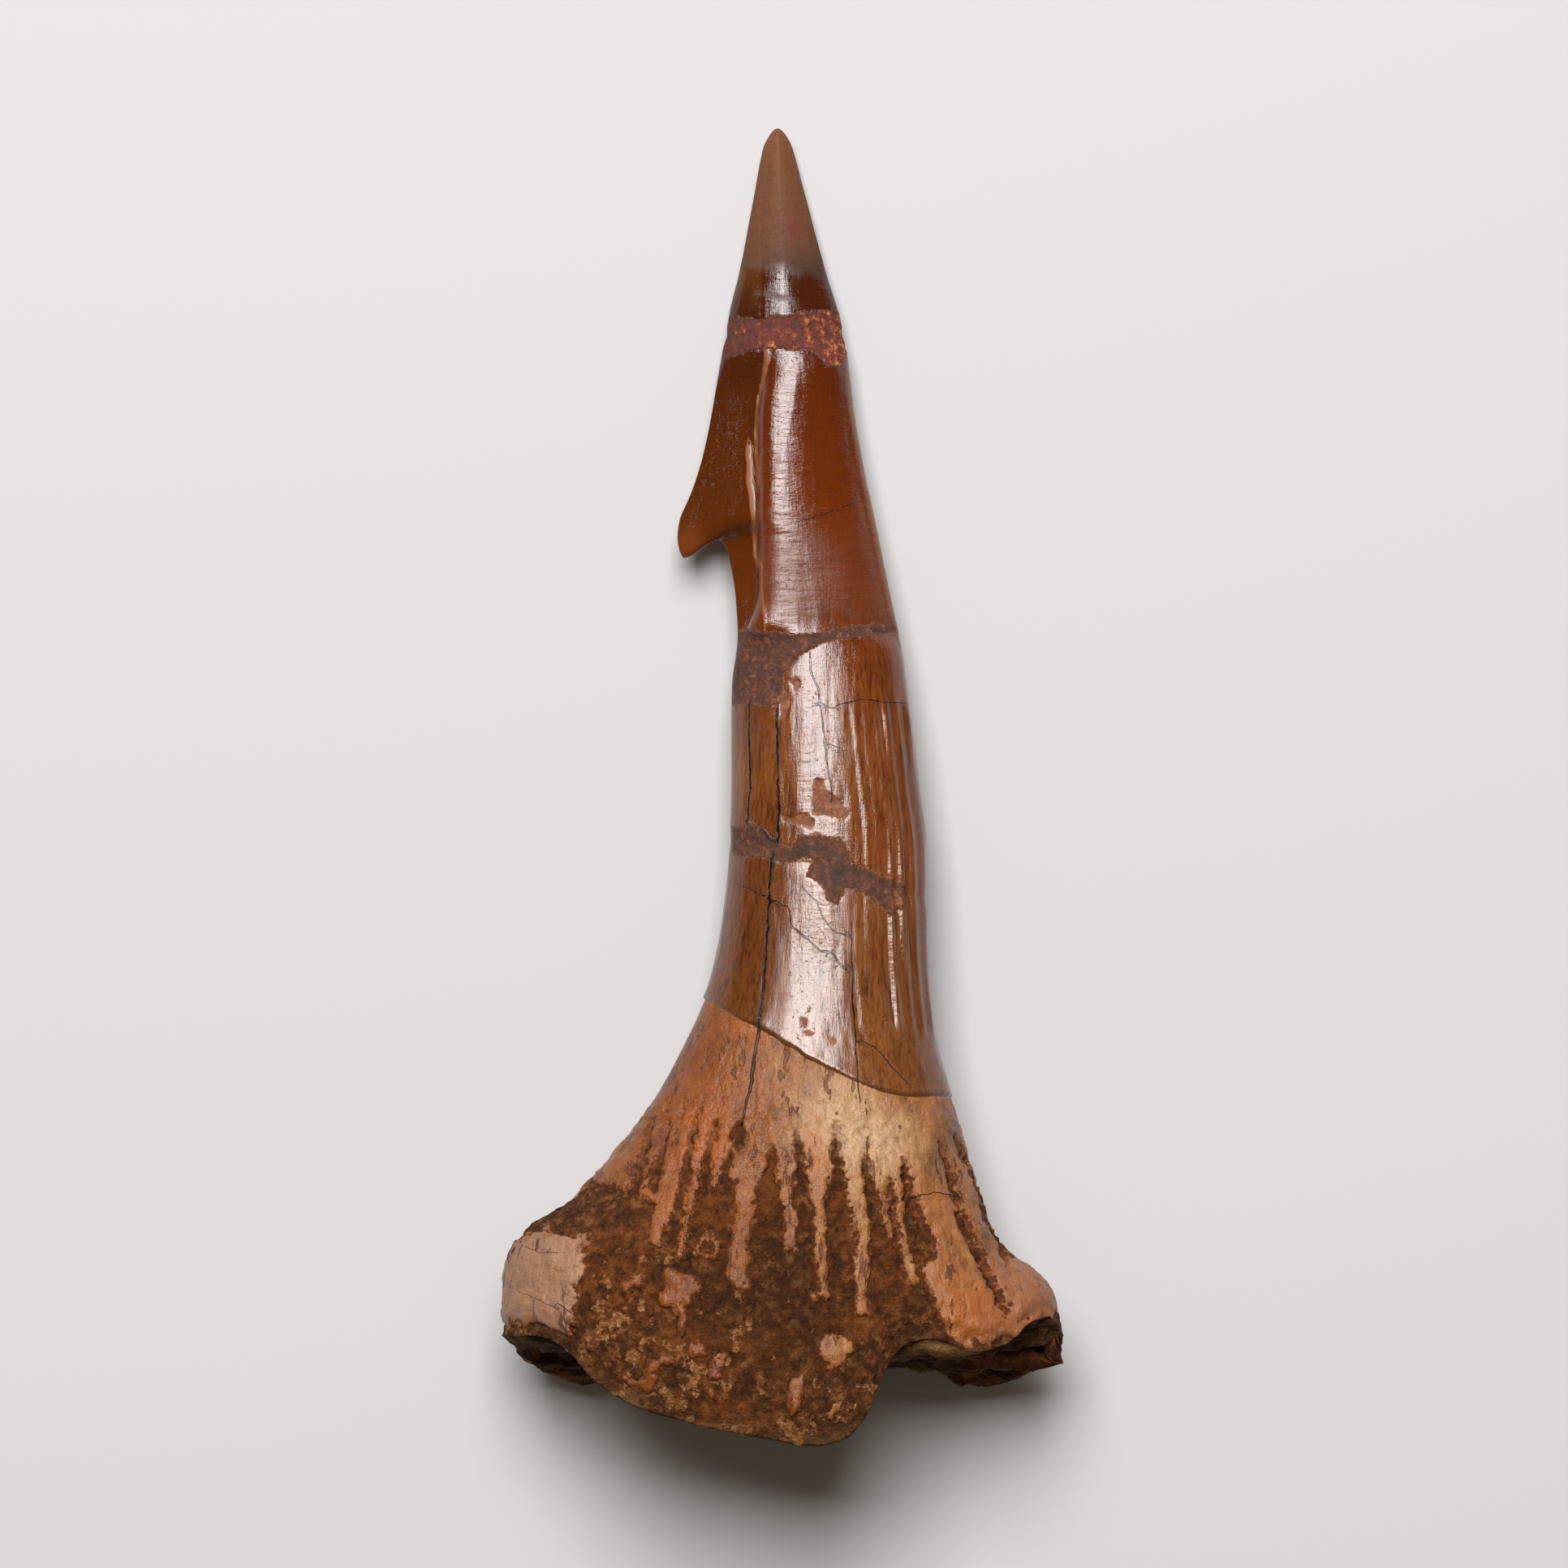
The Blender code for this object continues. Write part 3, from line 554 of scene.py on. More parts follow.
def tooth_surface(rows, columns):
    """Points round the tooth, from the tip to the root's rim: one ring per row.

    A ring goes round by an angle: x follows its cosine from edge to edge, and
    the height over the middle plane is half an ellipse on the front and on the
    back. Along the barb a thin ellipse that reaches the left edge is joined to
    a rounder one for the shaft by a smooth maximum. Rows bend down to the barb's
    tip, and the lowest rows bend to the uneven rim.
    """
    turn = np.arange(columns) * 2 * math.pi / columns
    turn = turn + RING_CROWDING * np.sin(2 * turn)
    across, side = np.cos(turn)[None, :], np.sin(turn)[None, :]
    row = rows[:, None]
    taper = tip_taper(row)
    left = curve(LEFT_EDGE, row)
    left_y = np.where((row > BARB_ROWS[0]) | (row < BARB_ROWS[1]), row, curve(BARB_Y, row))
    right = curve(RIGHT_EDGE, row)
    middle, half = (left + right) / 2, (right - left) / 2 * taper
    fan = 1 - ease(row, FAN_ROWS[1], FAN_ROWS[0])
    x = middle + half * (across + (curve(FAN, across) - across) * fan)
    plain = curve(PLAIN_LEFT, row)
    plain_x = (plain + right) / 2 + (right - plain) / 2 * across
    stretch = (BARB_ROOT_X - left) / (BARB_ROOT_X - plain)
    barb_x = np.where(plain_x < BARB_ROOT_X, BARB_ROOT_X + (plain_x - BARB_ROOT_X) * stretch, plain_x)
    x = np.where((row < PLAIN_LEFT[0][0]) & (row > BARB_ROWS[1]), barb_x, x)
    depth = curve(HALF_DEPTH, row) * taper
    blade_top, blade_end = BLADE_ROWS
    in_blade = ease(row, blade_end, blade_end + 2) * (1 - ease(row, blade_top - 3, blade_top))
    # Above the barb, the shaft's edge runs straight on to the blade's top
    shaft_left = left + (curve(SHAFT_LEFT, row) - left) * np.where(row > 12, 1, in_blade)
    shaft_right = right - CARINA_WIDTH * in_blade
    power = np.where(side >= 0, 1 - SHAFT_LEAN * in_blade, 1.0)
    shaft = leaning_arch(x, shaft_left, shaft_right, depth, power)
    inward = np.clip(x - left, 0, None)
    wedge = BLADE_RISE * np.sqrt(inward * inward + BLADE_ROUNDING * inward)
    blade = np.minimum(wedge, half_ellipse(x, middle, half, BLADE_HALF_DEPTH))
    sharp = np.where(side >= 0, 2 - 0.5 * ease(row, *SHARP_ROWS), 2.0)
    whole = half_ellipse(x, middle, half, depth, sharp)
    joined = (shaft**5 + np.minimum(blade, depth) ** 5) ** 0.2
    thick = np.where(in_blade > 0, in_blade * joined + (1 - in_blade) * whole, whole)
    reach = np.clip((BARB_ROOT_X - x) / (BARB_ROOT_X - np.minimum(left, BARB_ROOT_X - 0.3)), 0, 1)
    y = row + (left_y - row) * reach**BARB_BEND
    rim = np.where(side >= 0, curve(FRONT_RIM, x), curve(BACK_RIM, x))
    warp = np.clip((WARP_START - row) / (WARP_START - ROOT_END), 0, 1) ** WARP_POWER
    y = y + (rim - ROOT_END) * warp
    z = middle_height(row) + np.where(side >= 0, thick, -thick)
    z[:, 0] = z[:, columns // 2] = middle_height(rows)
    return np.stack([x, y, z], axis=2), np.broadcast_to(side, x.shape)


def normals(grid):
    """Unit normals of the grid: the cross product of its two directions, pointing outwards."""
    round_it = np.roll(grid, -1, axis=1) - np.roll(grid, 1, axis=1)
    along = np.gradient(grid, axis=0)
    normal = np.cross(round_it, along)
    normal = normal / np.maximum(np.linalg.norm(normal, axis=2, keepdims=True), 1e-9)
    return normal


def underside(rim, rings):
    """Rings from the rim in to the middle of the broken foot.

    Each ring is the rim drawn in by an even share, and its height along the
    tooth follows the hollow's profile. The inner rings are evened out.
    """
    middle = np.array([*HOLLOW_MIDDLE, float(middle_height(ROOT_END)) + 0.2])
    even_rim = np.mean([np.roll(rim, step, axis=0) for step in range(-24, 25)], axis=0)
    share = (np.linspace(0, 1, rings + 2)[1:-1] ** 1.35)[:, None, None]
    start = rim[None] + (even_rim - rim)[None] * ease(share, 0.03, 0.4)
    grid = start + (middle - start) * share
    grid[:, :, 1] = middle[1] + (start[:, :, 1] - middle[1]) * curve(HOLLOW, share[:, :, 0])
    return grid


def shell(name, grid, first, last, fields, material):
    """Skins a grid of rings, closes each end with one point, and stores its fields by vertex."""
    rings, columns = grid.shape[:2]
    points = np.concatenate([[first], grid.reshape(-1, 3), [last]]) * MM
    index = 1 + np.arange(rings * columns).reshape(rings, columns)
    beside = np.roll(index, -1, axis=1)
    quads = np.stack([index[:-1], beside[:-1], beside[1:], index[1:]], axis=2).reshape(-1, 4)
    start = np.stack([np.zeros(columns, int), beside[0], index[0]], axis=1)
    end = np.stack([index[-1], beside[-1], np.full(columns, len(points) - 1)], axis=1)
    mesh = bpy.data.meshes.new(name)
    mesh.from_pydata(points.tolist(), [], start.tolist() + quads.tolist() + end.tolist())
    for field, values in fields.items():
        flat = values.reshape(-1)
        flat = np.concatenate([flat[:1], flat, flat[-1:]]).astype(np.float32)
        mesh.attributes.new(field, "FLOAT", "POINT").data.foreach_set("value", flat)
    mesh.shade_smooth()
    mesh.materials.append(material)
    piece = bpy.data.objects.new(name, mesh)
    bpy.context.scene.collection.objects.link(piece)
    return piece


def collar_gap(x, y, side):
    """How far a point lies on the crown's side of the collar, in millimetres."""
    return y - np.where(side >= 0, curve(COLLAR_FRONT, x), curve(COLLAR_BACK, x))


def wobble(grid, size, amount, seed):
    """X and Y of the grid, shifted a little by noise, so that drawn edges look natural."""
    x = grid[:, :, 0] + amount * noise(grid, size, seed)
    y = grid[:, :, 1] + amount * noise(grid, size, seed + 5)
    return x, y


def satin_places(x, y, front, blade):
    """How far the crown's polish is worn: fully at the tip, a little above and on the shaft."""
    band = 0.7 * np.exp(-(((y - 22.35) / 0.2) ** 2) - ((x + 0.4) / 0.9) ** 4)
    tip = np.maximum(ease(y, 23.2, 24.0), band)
    low = 0.4 * (1 - ease(y, 10.5, 13.6)) * ease(y, 6.8, 8.2) * (1 - blade)
    shaft = 0.45 * blot(x, y, WORN_SHAFT)
    return np.maximum(np.maximum(tip, low), shaft) * (0.35 + 0.65 * front)


def crown(material):
    """The glossy crown and shaft, down to the collar, where it dives under the bone."""
    end = TIP_Y - TIP_ROUND * (1 - np.cos(np.linspace(0, math.pi / 2, TIP_RINGS + 1)[1:]))
    rows = np.concatenate([end, np.linspace(TIP_Y - TIP_ROUND - 0.12, CROWN_END, CROWN_RINGS)])
    grid, side = tooth_surface(rows, CROWN_COLUMNS)
    x, y = grid[:, :, 0], grid[:, :, 1]
    wx, wy = wobble(grid, 0.5, 0.09, 1)
    wx2, wy2 = wobble(grid, 0.3, 0.05, 9)
    left = curve(LEFT_EDGE, y)
    right = curve(RIGHT_EDGE, y)
    across = (x - (left + right) / 2) / ((right - left) / 2)
    front = ease(side, -0.05, 0.05)
    # On the back, the upper and the lower break are plain bands
    back_bands = np.maximum(0.5 - np.abs(wy - 20.5), 0.25 - np.abs(wy + 2.2))
    break_field = np.where(side >= 0, area_field(wx, wy, BREAKS), back_bands)
    flake_field = np.where(side >= 0, area_field(wx2, wy2, FLAKES), -9.0)
    crack_field = np.where(side >= 0, path_field(wx2, wy2, CRACKS), 9.0)
    lip_field = np.where(side >= 0, path_field(wx2, wy2, LIPS), 9.0)
    gap = collar_gap(wx, y, side)

    flutes = 0.15 * ease(across, 0.25, 0.4) + 0.85 * ease(across, 0.55, 0.66)
    flutes *= (1 - ease(across, 0.96, 1.0)) * ease(y, -12.0, -10.8) * (1 - ease(y, 2.6, 4.6))
    strength = 0.75 + 0.7 * noise(grid, (0.7, 5, 20), 4)
    wave = np.sin(2 * math.pi * ((right - x) / FLUTE_SPACING + 0.3 * noise(grid, (3, 9, 9), 2)))
    height = FLUTE_HEIGHT * flutes * front * np.clip(strength, 0.1, 1.2) * wave
    height += 0.012 * layered(grid * np.array([1, 0.08, 1]), 0.3, 2, 3) * (1 - 0.6 * ease(y, 7, 9))
    height += 0.04 + 0.04 * noise(grid, (1.6, 5, 3), 6) + 0.02 * noise(grid, (0.9, 2.2, 2), 8)
    height += 0.006 * layered(grid * np.array([0.35, 1, 0.35]), 0.22, 2, 12) * ease(y, 7, 9)
    inside = ease(break_field, -0.05, 0.12)
    height -= inside * (BREAK_DEPTH + 0.035 * layered(grid, 0.35, 3, 21))
    height -= FLAKE_DEPTH * ease(flake_field, -0.03, 0.06)
    height += LIP_HEIGHT * bell(lip_field, 1)
    slanted = y - LOWER_BREAK_Y + 0.3 * (x + 2.3)
    height -= 0.03 * bell(y - UPPER_BREAK_Y, 0.6) + 0.06 * bell(slanted, 0.35)
    height += LEDGE_HEIGHT * (1 - ease(gap, 0.0, 0.5)) - np.clip(0.03 - gap * 1.3, 0, 0.7)
    grid = grid + normals(grid) * height[:, :, None]
    grid[:, :, 2] = np.maximum(grid[:, :, 2], 0.0)
    shaft_left = curve(SHAFT_LEFT, np.clip(y, 5.5, 24))
    # Below the barb, the shaft's left flank takes the blade's darker amber: painted shade
    blade = np.where(y > 6.5, ease(shaft_left - x, -0.1, 0.12), ease(-across, 0.25, 0.5))
    beside_blade = ease(y, 6, 8) * (1 - ease(y, 20, 22))
    fields = {
        "crack": crack_field,
        "break": break_field,
        "flake": flake_field,
        "lip": lip_field,
        "blade": blade * front + (1 - front) * 0.4,
        "edge": (right - x) * beside_blade + 3 * (1 - beside_blade),
        "collar": gap,
        "across": across,
        "satin": satin_places(wx, y + 0.5 * noise(grid, 0.8, 14), front, blade * front),
        "pale": blot(x, y, BARB_TIP) * front,
        "red": blot(x, y, RED_SPOT) * front,
        "dark": blot(x, y, DARK_BREAKS) * front,
    }
    first = np.array([-0.3, TIP_Y, float(middle_height(TIP_Y))])
    return shell("enameloid_crown", grid, first, grid[-1].mean(axis=0), fields, material)


def foot_sides(rows, columns):
    """The root's sides with the valley that runs to the notch, and their normals."""
    grid, side = tooth_surface(rows, columns)
    start, end, width, depth = NOTCH_VALLEY
    share, away = beside_line(grid[:, :, 0], grid[:, :, 1], start, end)
    valley = depth * ease(share, 0, 0.8) * bell(away, width)
    out = normals(grid)
    from_axis = grid - grid.mean(axis=1, keepdims=True)
    from_axis[:, :, 1] = 0
    inward = (out * from_axis).sum(axis=2, keepdims=True) < 0
    out = np.where(inward, -out, out)
    return grid - out * valley[:, :, None], side, out


def close_foot(sides, rings, rise):
    """Adds the broken underside to displaced sides. Its own height grows in from the rim."""
    under = underside(sides[-1], rings)
    grid = np.concatenate([sides, under])
    out = normals(grid)[len(sides):]
    grow = ease(np.arange(rings), -1.0, 7.0)[:, None]
    under = under + out * (rise(under) * grow)[:, :, None]
    grid = np.concatenate([sides, under])
    grid[:, :, 2] = np.maximum(grid[:, :, 2], 0.0)
    return grid


def with_underside(values, rings, value):
    """A field of the sides with one value added for the rings of the underside."""
    return np.concatenate([values, np.full((rings, values.shape[1]), float(value))])


def bone_shown(grid, side, seed):
    """How far a point lies inside bare bone, in millimetres: negative where sediment covers it.

    It is the largest of the drawn line, ridges and patches, less the furrows.
    """
    x, y = wobble(grid, 0.42, 0.13, seed)
    x, y = x + 0.1 * noise(grid, 0.19, seed + 1), y + 0.14 * noise(grid, 0.19, seed + 2)
    front = (y - curve(BONE_LINE, x)) * 0.8
    front = np.maximum(front, tapered_field(x, y, RIDGES))
    front = np.minimum(front, -tapered_field(x, y, FURROWS))
    front = np.maximum(front, area_field(x, y, BARE_BONE))
    ring_x, ring_y, radius, half_width = BONE_RING
    front = np.maximum(front, half_width - np.abs(np.hypot(x - ring_x, y - ring_y) - radius))
    front = front + 0.07 * noise(grid, 0.16, seed + 4)
    back = y - curve(BACK_BONE_LINE, x) + 0.5 * noise(grid, 1.4, seed + 3)
    back = np.minimum(back, -tapered_field(x, y, back_furrows()))
    return np.where(side >= 0, front, back)


def back_furrows():
    """Evenly fanned furrows for the back of the root, with a little seeded variation."""
    chance = np.random.default_rng(7)
    tracks = []
    for share in np.linspace(-0.8, 0.82, 12):
        top = 1.2 + 6.6 * share + chance.uniform(-0.2, 0.2)
        foot = 0.2 + 10.6 * share + chance.uniform(-0.3, 0.3)
        rise = chance.uniform(-0.9, 0.9)
        tracks.append((0.12, 0.38, [(top, -15.2 + rise), (foot, -21.6 + rise)]))
    return tracks


def blot(x, y, spots):
    """Soft round blots: 1 at the middle of a spot, 0.5 at its radius, and near 0 at twice that."""
    cover = np.zeros(x.shape)
    for spot_x, spot_y, radius_x, radius_y in spots:
        away = np.hypot((x - spot_x) / radius_x, (y - spot_y) / radius_y)
        cover = np.maximum(cover, np.exp(-0.7 * away**2))
    return cover


def root(material):
    """The bone of the root: smooth at the top, then ridges and furrows.

    Where sediment covers it, the bone sinks below the sediment's surface.
    """
    rows = np.concatenate([np.linspace(*span) for span in BONE_ROWS])
    rings = BONE_UNDER_RINGS
    grid, side, out = foot_sides(rows, ROOT_COLUMNS)
    x, y = grid[:, :, 0], grid[:, :, 1]
    shown = bone_shown(grid, side, 33)
    gap = collar_gap(x, y, side)
    low = ease(-y, 13.8, 15.0)
    rim_near = ease(rows, ROOT_END + 1.2, ROOT_END)[:, None]
    height = -BONE_DEPTH - 0.4 * np.clip(gap * 0.6, 0, 0.8)
    height -= np.clip(0.05 - shown * 2.2, 0, 0.5) * low
    height += RIDGE_HEIGHT * ease(shown, 0.0, 0.25) * ease(-y, 14.5, 16.5)
    height += 0.03 * noise(grid, (0.5, 3.0, 1.0), 35) + low * 0.07 * layered(grid, 0.45, 3, 36)
    height += 0.05 * noise(grid, (1.5, 4, 3), 37)
    height -= rim_near * (0.22 + 0.2 * layered(grid, 0.5, 3, 38))
    sides = grid + out * height[:, :, None]
    x, y = wobble(sides, 0.3, 0.05, 39)
    x2, y2 = wobble(sides, 0.9, 0.35, 51)
    on_front = {
        "pale": ease(area_field(x2, y2, BARE_BONE[:1]), -0.3, 0.5),
        "rust": blot(x2, y2, RUST_SPOTS),
        "stain": blot(x2, y2, DARK_STAINS),
        # Cream tone of the bone, with a painted sheen at the root's top
        "ivory_and_sheen": blot(x2, y2, IVORY_AND_SHEEN_SPOTS),
        "rose": blot(x2, y2, ROSE_SPOTS),
    }
    front = ease(side, -0.35, 0.35)
    fields = {name: with_underside(cover * front, rings, 0) for name, cover in on_front.items()}
    fields["shown"] = with_underside(shown, rings, -1)
    cracks = np.where(side >= 0, path_field(x, y, CRACKS), 9.0)
    fields["crack"] = with_underside(cracks, rings, 9)
    grid = close_foot(sides, rings, lambda under: np.full(under.shape[:2], -0.8))
    return shell("fossil_bone_root", grid, grid[0].mean(axis=0), grid[-1].mean(axis=0), fields, material)


def broken_face(under):
    """Height of the broken underside: ledges along the layers, lumps and grains.

    A ledge is noise, stretched along the layers, rounded to a few even levels.
    """
    steps = FOOT_LEVELS * layered(under * np.array([0.3, 1.0, 1.5]), FOOT_LAYER_SIZE, 3, 47)
    ledges = (np.floor(steps) + ease(steps - np.floor(steps), 0.55, 1.0)) / FOOT_LEVELS
    lumps = 0.14 * layered(under, 0.5, 3, 48) + 0.08 * grains(under, 0.5, 49)
    return 0.05 + FOOT_LEDGE_HEIGHT * ledges + lumps


def sediment(material):
    """The crust in the furrows, over the foot and over the broken underside.

    Its height is a fixed step below the tooth's surface, with lumps and fine grains.
    """
    rows = np.concatenate([np.linspace(*span) for span in CRUST_ROWS])
    rings = CRUST_UNDER_RINGS
    grid, side, out = foot_sides(rows, ROOT_COLUMNS)
    x, y = grid[:, :, 0], grid[:, :, 1]
    above = ease(y - curve(BONE_LINE, x), -0.3, 0.5) * (side >= 0)
    height = -CRUST_DEPTH - 0.09 * above - 0.6 * ease(y, -14.9, -14.1)
    height += LUMP_HEIGHT * layered(grid, LUMP_SIZE, 3, 41)
    height += LUMP_HEIGHT * (grains(grid, GRAIN_SIZE, 43) - 0.3)
    height += 0.05 * layered(grid, 0.3, 2, 45) + 0.03 * noise(grid, 0.13, 46)
    rim_near = ease(rows, ROOT_END + 0.9, ROOT_END)[:, None]
    height += rim_near * (0.05 + 0.12 * layered(grid, 0.6, 3, 50))
    sides = grid + out * height[:, :, None]
    x2, y2 = wobble(sides, 0.9, 0.4, 53)
    # Pale flecks are thickest low on the left, and thin on the back
    right_side = ease(x, -2.5, 0.5) * (1 - ease(-y, 25.0, 28.0))
    flecked = (0.25 + 0.75 * ease(-y, 19.5, 24.0)) * (1 - 0.6 * right_side)
    fields = {"below": with_underside(0.6 * rim_near**2 * np.ones(side.shape), rings, 1)}
    for name, spots in (("rusty", RUSTY_SEDIMENT), ("grey", GREY_SEDIMENT)):
        fields[name] = with_underside(np.where(side >= 0, blot(x2, y2, spots), 0), rings, 0)
    fields["flecked"] = with_underside(np.where(side >= 0, flecked, 0.2), rings, 0.1)
    grid = close_foot(sides, rings, broken_face)
    return shell("ironstone_sediment", grid, grid[0].mean(axis=0), grid[-1].mean(axis=0), fields, material)


def fill(made, inputs):
    """Gives each listed input of a node its value, or the link that brings it."""
    for key, value in inputs.items():
        if isinstance(value, bpy.types.NodeSocket):
            made.id_data.links.new(value, made.inputs[key])
        else:
            made.inputs[key].default_value = value


def add(tree, kind, inputs, out=0, stops=None, **settings):
    """Adds a node, sets it, fills or links its inputs, and gives back one of its outputs."""
    made = tree.nodes.new("ShaderNode" + kind)
    for name, value in settings.items():
        setattr(made, name, value)
    if stops:
        ramp = made.color_ramp.elements
        for place, code in stops[1:-1]:
            ramp.new(place).color = linear(code)
        ramp[0].position, ramp[0].color = stops[0][0], linear(stops[0][1])
        ramp[-1].position, ramp[-1].color = stops[-1][0], linear(stops[-1][1])
    fill(made, inputs)
    return made.outputs[out]


def blank(name):
    """A new material, a function that adds nodes to its tree, and its Principled shader."""
    material = bpy.data.materials.new(name)
    material.use_nodes = True
    tree = material.node_tree
    return material, functools.partial(add, tree), tree.nodes["Principled BSDF"]


def overlaid(node, colour, covers):
    """A colour with other colours over it, each as far as its own cover reaches."""
    for cover, over in covers:
        over = linear(over) if isinstance(over, str) else over
        colour = node("Mix", {0: cover, 6: colour, 7: over}, **BLEND)
    return colour


def stained(node, colour, speckled, stains):
    """A colour with each stain laid over it, stronger and weaker from speck to speck."""
    for name, code, strength in stains:
        cover = node("Attribute", {}, out=2, attribute_name=name)
        cover = node("Math", {0: cover, 1: speckled}, **TIMES)
        cover = node("MapRange", {0: cover, 1: 0.1, 2: 0.9, 4: strength})
        colour = overlaid(node, colour, [(cover, code)])
    return colour


def amber(node, y, clouds, blade):
    """Amber of the shaft and of the blade, by rows: paler low down, darkest at the upper break. Where the
    blade's darker amber lies on the shaft's left flank, it is painted shade.
    """
    shift = node("Math", {0: clouds, 1: 3.0, 2: -1.5}, **TIMES_PLUS)
    y_moved = node("Math", {0: y, 1: shift})
    level = node("MapRange", {0: y_moved, 1: -15.0, 2: 30.0})
    shaft = node("ValToRGB", {0: level}, stops=[
        (0.0, "#8c5c34"), (0.1, "#8a582e"), (0.2, "#8a5830"), (0.27, "#8a5026"), (0.33, "#885226"),
        (0.43, "#86491e"), (0.49, "#743810"), (0.53, "#6e3006"), (0.64, "#6a2a00"), (0.76, "#5e2400"),
        (0.8, "#4a1802"), (0.85, "#441c06"), (0.89, "#603408"), (1.0, "#7a4614"),
    ])
    # Darker amber: the blade's own colour, and painted shade where it lies on the shaft's left flank
    side = node("ValToRGB", {0: level}, stops=[
        (0.1, "#74461f"), (0.25, "#744220"), (0.34, "#8a5426"), (0.44, "#7c451c"), (0.5, "#683008"),
        (0.58, "#5a2700"), (0.76, "#4c1f00"), (0.82, "#461c04"), (0.88, "#603610"), (1.0, "#7a4614"),
    ])
    return node("Mix", {0: blade, 6: shaft, 7: side}, **BLEND)


def break_mineral(node, y, across, grit, dark):
    """Rough mineral of the healed breaks: brown low down and red near the tip, darker in spots."""
    brown_mineral = node("ValToRGB", {0: grit}, stops=[
        (0.0, "#1a0802"), (0.38, "#321405"), (0.48, "#481e0a"), (0.56, "#5e2c12"), (0.66, "#8a5230"),
        (1.0, "#b88a60"),
    ])
    grains_right = node("Math", {0: across, 1: 0.05, 2: grit}, **TIMES_PLUS)
    red_mineral = node("ValToRGB", {0: grains_right}, stops=[
        (0.0, "#3a1206"), (0.4, "#4a1404"), (0.5, "#641e04"), (0.58, "#843010"), (0.65, "#c07840"),
        (1.0, "#e0b488"),
    ])
    high = node("MapRange", {0: y, 1: 16.0, 2: 18.0})
    mineral = node("Mix", {0: high, 6: brown_mineral, 7: red_mineral}, **BLEND)
    dark = node("Math", {0: dark, 1: 0.85}, **TIMES)
    return overlaid(node, mineral, [(dark, "#2c1c10")])


def enameloid():
    """Enameloid of a fossil tooth, polished: clear amber over brown fibres along the tooth.

    Its gloss gives sharp highlights, which scuffs and the rough breaks cut up.
    """
    material, node, shader = blank("polished_enameloid")
    place = node("TexCoord", {}, out=3)
    mm, along, wide = (
        node("VectorMath", {0: place, 1: scale}, **TIMES)
        for scale in (TO_MM, (1000, 60, 1000), (250, 1000, 250))
    )
    y = node("SeparateXYZ", {0: mm}, out=1)
    fields = "blade crack break flake lip edge collar across pale red dark satin".split()
    blade, crack, broken, flake, lip, edge, collar, across, pale, red, dark, satin = (
        node("Attribute", {}, out=2, attribute_name=name) for name in fields
    )
    fibres, threads, clouds, grit, scuffs, specks = (
        node("TexNoise", {"Vector": space, "Scale": scale, "Detail": detail, "Roughness": rough})
        for space, scale, detail, rough in (
            (along, 2.4, 5.0, 0.65), (along, 8.0, 4.0, 0.7), (mm, 0.45, 4.0, 0.6),
            (mm, 3.2, 5.0, 0.7), (wide, 4.0, 4.0, 0.6), (mm, 6.0, 3.0, 0.6),
        )
    )

    colour = amber(node, y, clouds, blade)
    streak = node("MapRange", {0: fibres, 1: 0.3, 2: 0.68})
    thread = node("MapRange", {0: threads, 1: 0.35, 2: 0.65})
    shades = node("ValToRGB", {0: streak}, stops=[(0.0, "#b4a498"), (0.5, "#f2e8dc"), (1.0, "#ffffff")])
    lines = node("ValToRGB", {0: thread}, stops=[(0.0, "#a48c7a"), (0.35, "#e2d6ca"), (1.0, "#ffffff")])
    fibrous = node("MapRange", {0: y, 1: 9.0, 2: 6.0, 3: 0.25, 4: 0.95})
    for tone in (shades, lines):
        colour = node("Mix", {0: fibrous, 6: colour, 7: tone}, **BLEND, blend_type="MULTIPLY")

    # Where each tint, break and crack, and the painted shadow at the collar, covers the amber
    rim_tint = node("MapRange", {0: edge, 1: 0.3, 2: 0.1, 4: 0.4}, **SMOOTH)
    right_red = node("MapRange", {0: across, 1: 0.55, 2: 0.95, 4: 0.5}, **SMOOTH)
    low_part = node("MapRange", {0: y, 1: 6.0, 2: 3.0})
    right_red = node("Math", {0: right_red, 1: low_part}, **TIMES)
    pale = node("Math", {0: pale, 1: 0.8}, **TIMES)
    red = node("Math", {0: red, 1: 0.7}, **TIMES)
    lip_mask = node("Math", {0: lip}, **AWAY)
    lip_mask = node("MapRange", {0: lip_mask, 1: 1.3, 2: 0.5, 4: 0.85}, **SMOOTH)
    ragged = node("Math", {0: grit, 1: 0.5, 2: -0.25}, **TIMES_PLUS)
    torn = node("Math", {0: broken, 1: ragged})
    torn = node("MapRange", {0: torn, 1: -0.1, 2: 0.12}, **SMOOTH)
    cloud_shade = node("MapRange", {0: clouds, 1: 0.4, 2: 0.6, 3: 0.7})
    mineral_shown = node("Math", {0: torn, 1: cloud_shade}, **TIMES)
    lost = node("Math", {0: flake, 1: ragged})
    lost = node("MapRange", {0: lost, 1: -0.03, 2: 0.04}, **SMOOTH)
    crack_line = node("Math", {0: crack}, **AWAY)
    crack_line = node("Math", {0: ragged, 1: 5.0, 2: crack_line}, **TIMES_PLUS)
    crack_line = node("MapRange", {0: crack_line, 1: 1.1, 2: 0.45}, **SMOOTH)
    # Dark line along the collar: pits, and the painted shadow of the crown's ledge
    collar_pits_and_shadow = node("MapRange", {0: collar, 1: 0.22, 2: 0.02, 4: 0.5}, **SMOOTH)

    bare = node("ValToRGB", {0: grit}, stops=[(0.3, "#502004"), (0.5, "#763c14"), (0.7, "#a86c3c")])
    colour = overlaid(node, colour, [
        (rim_tint, "#8a5e20"),
        (right_red, "#5a2a10"),
        (pale, "#7c3e18"),
        (red, "#6c200c"),
        (lip_mask, "#90501e"),
        (mineral_shown, break_mineral(node, y, across, grit, dark)),
        (lost, bare),
        (crack_line, "#120801"),
        (collar_pits_and_shadow, "#4a2a12"),
    ])

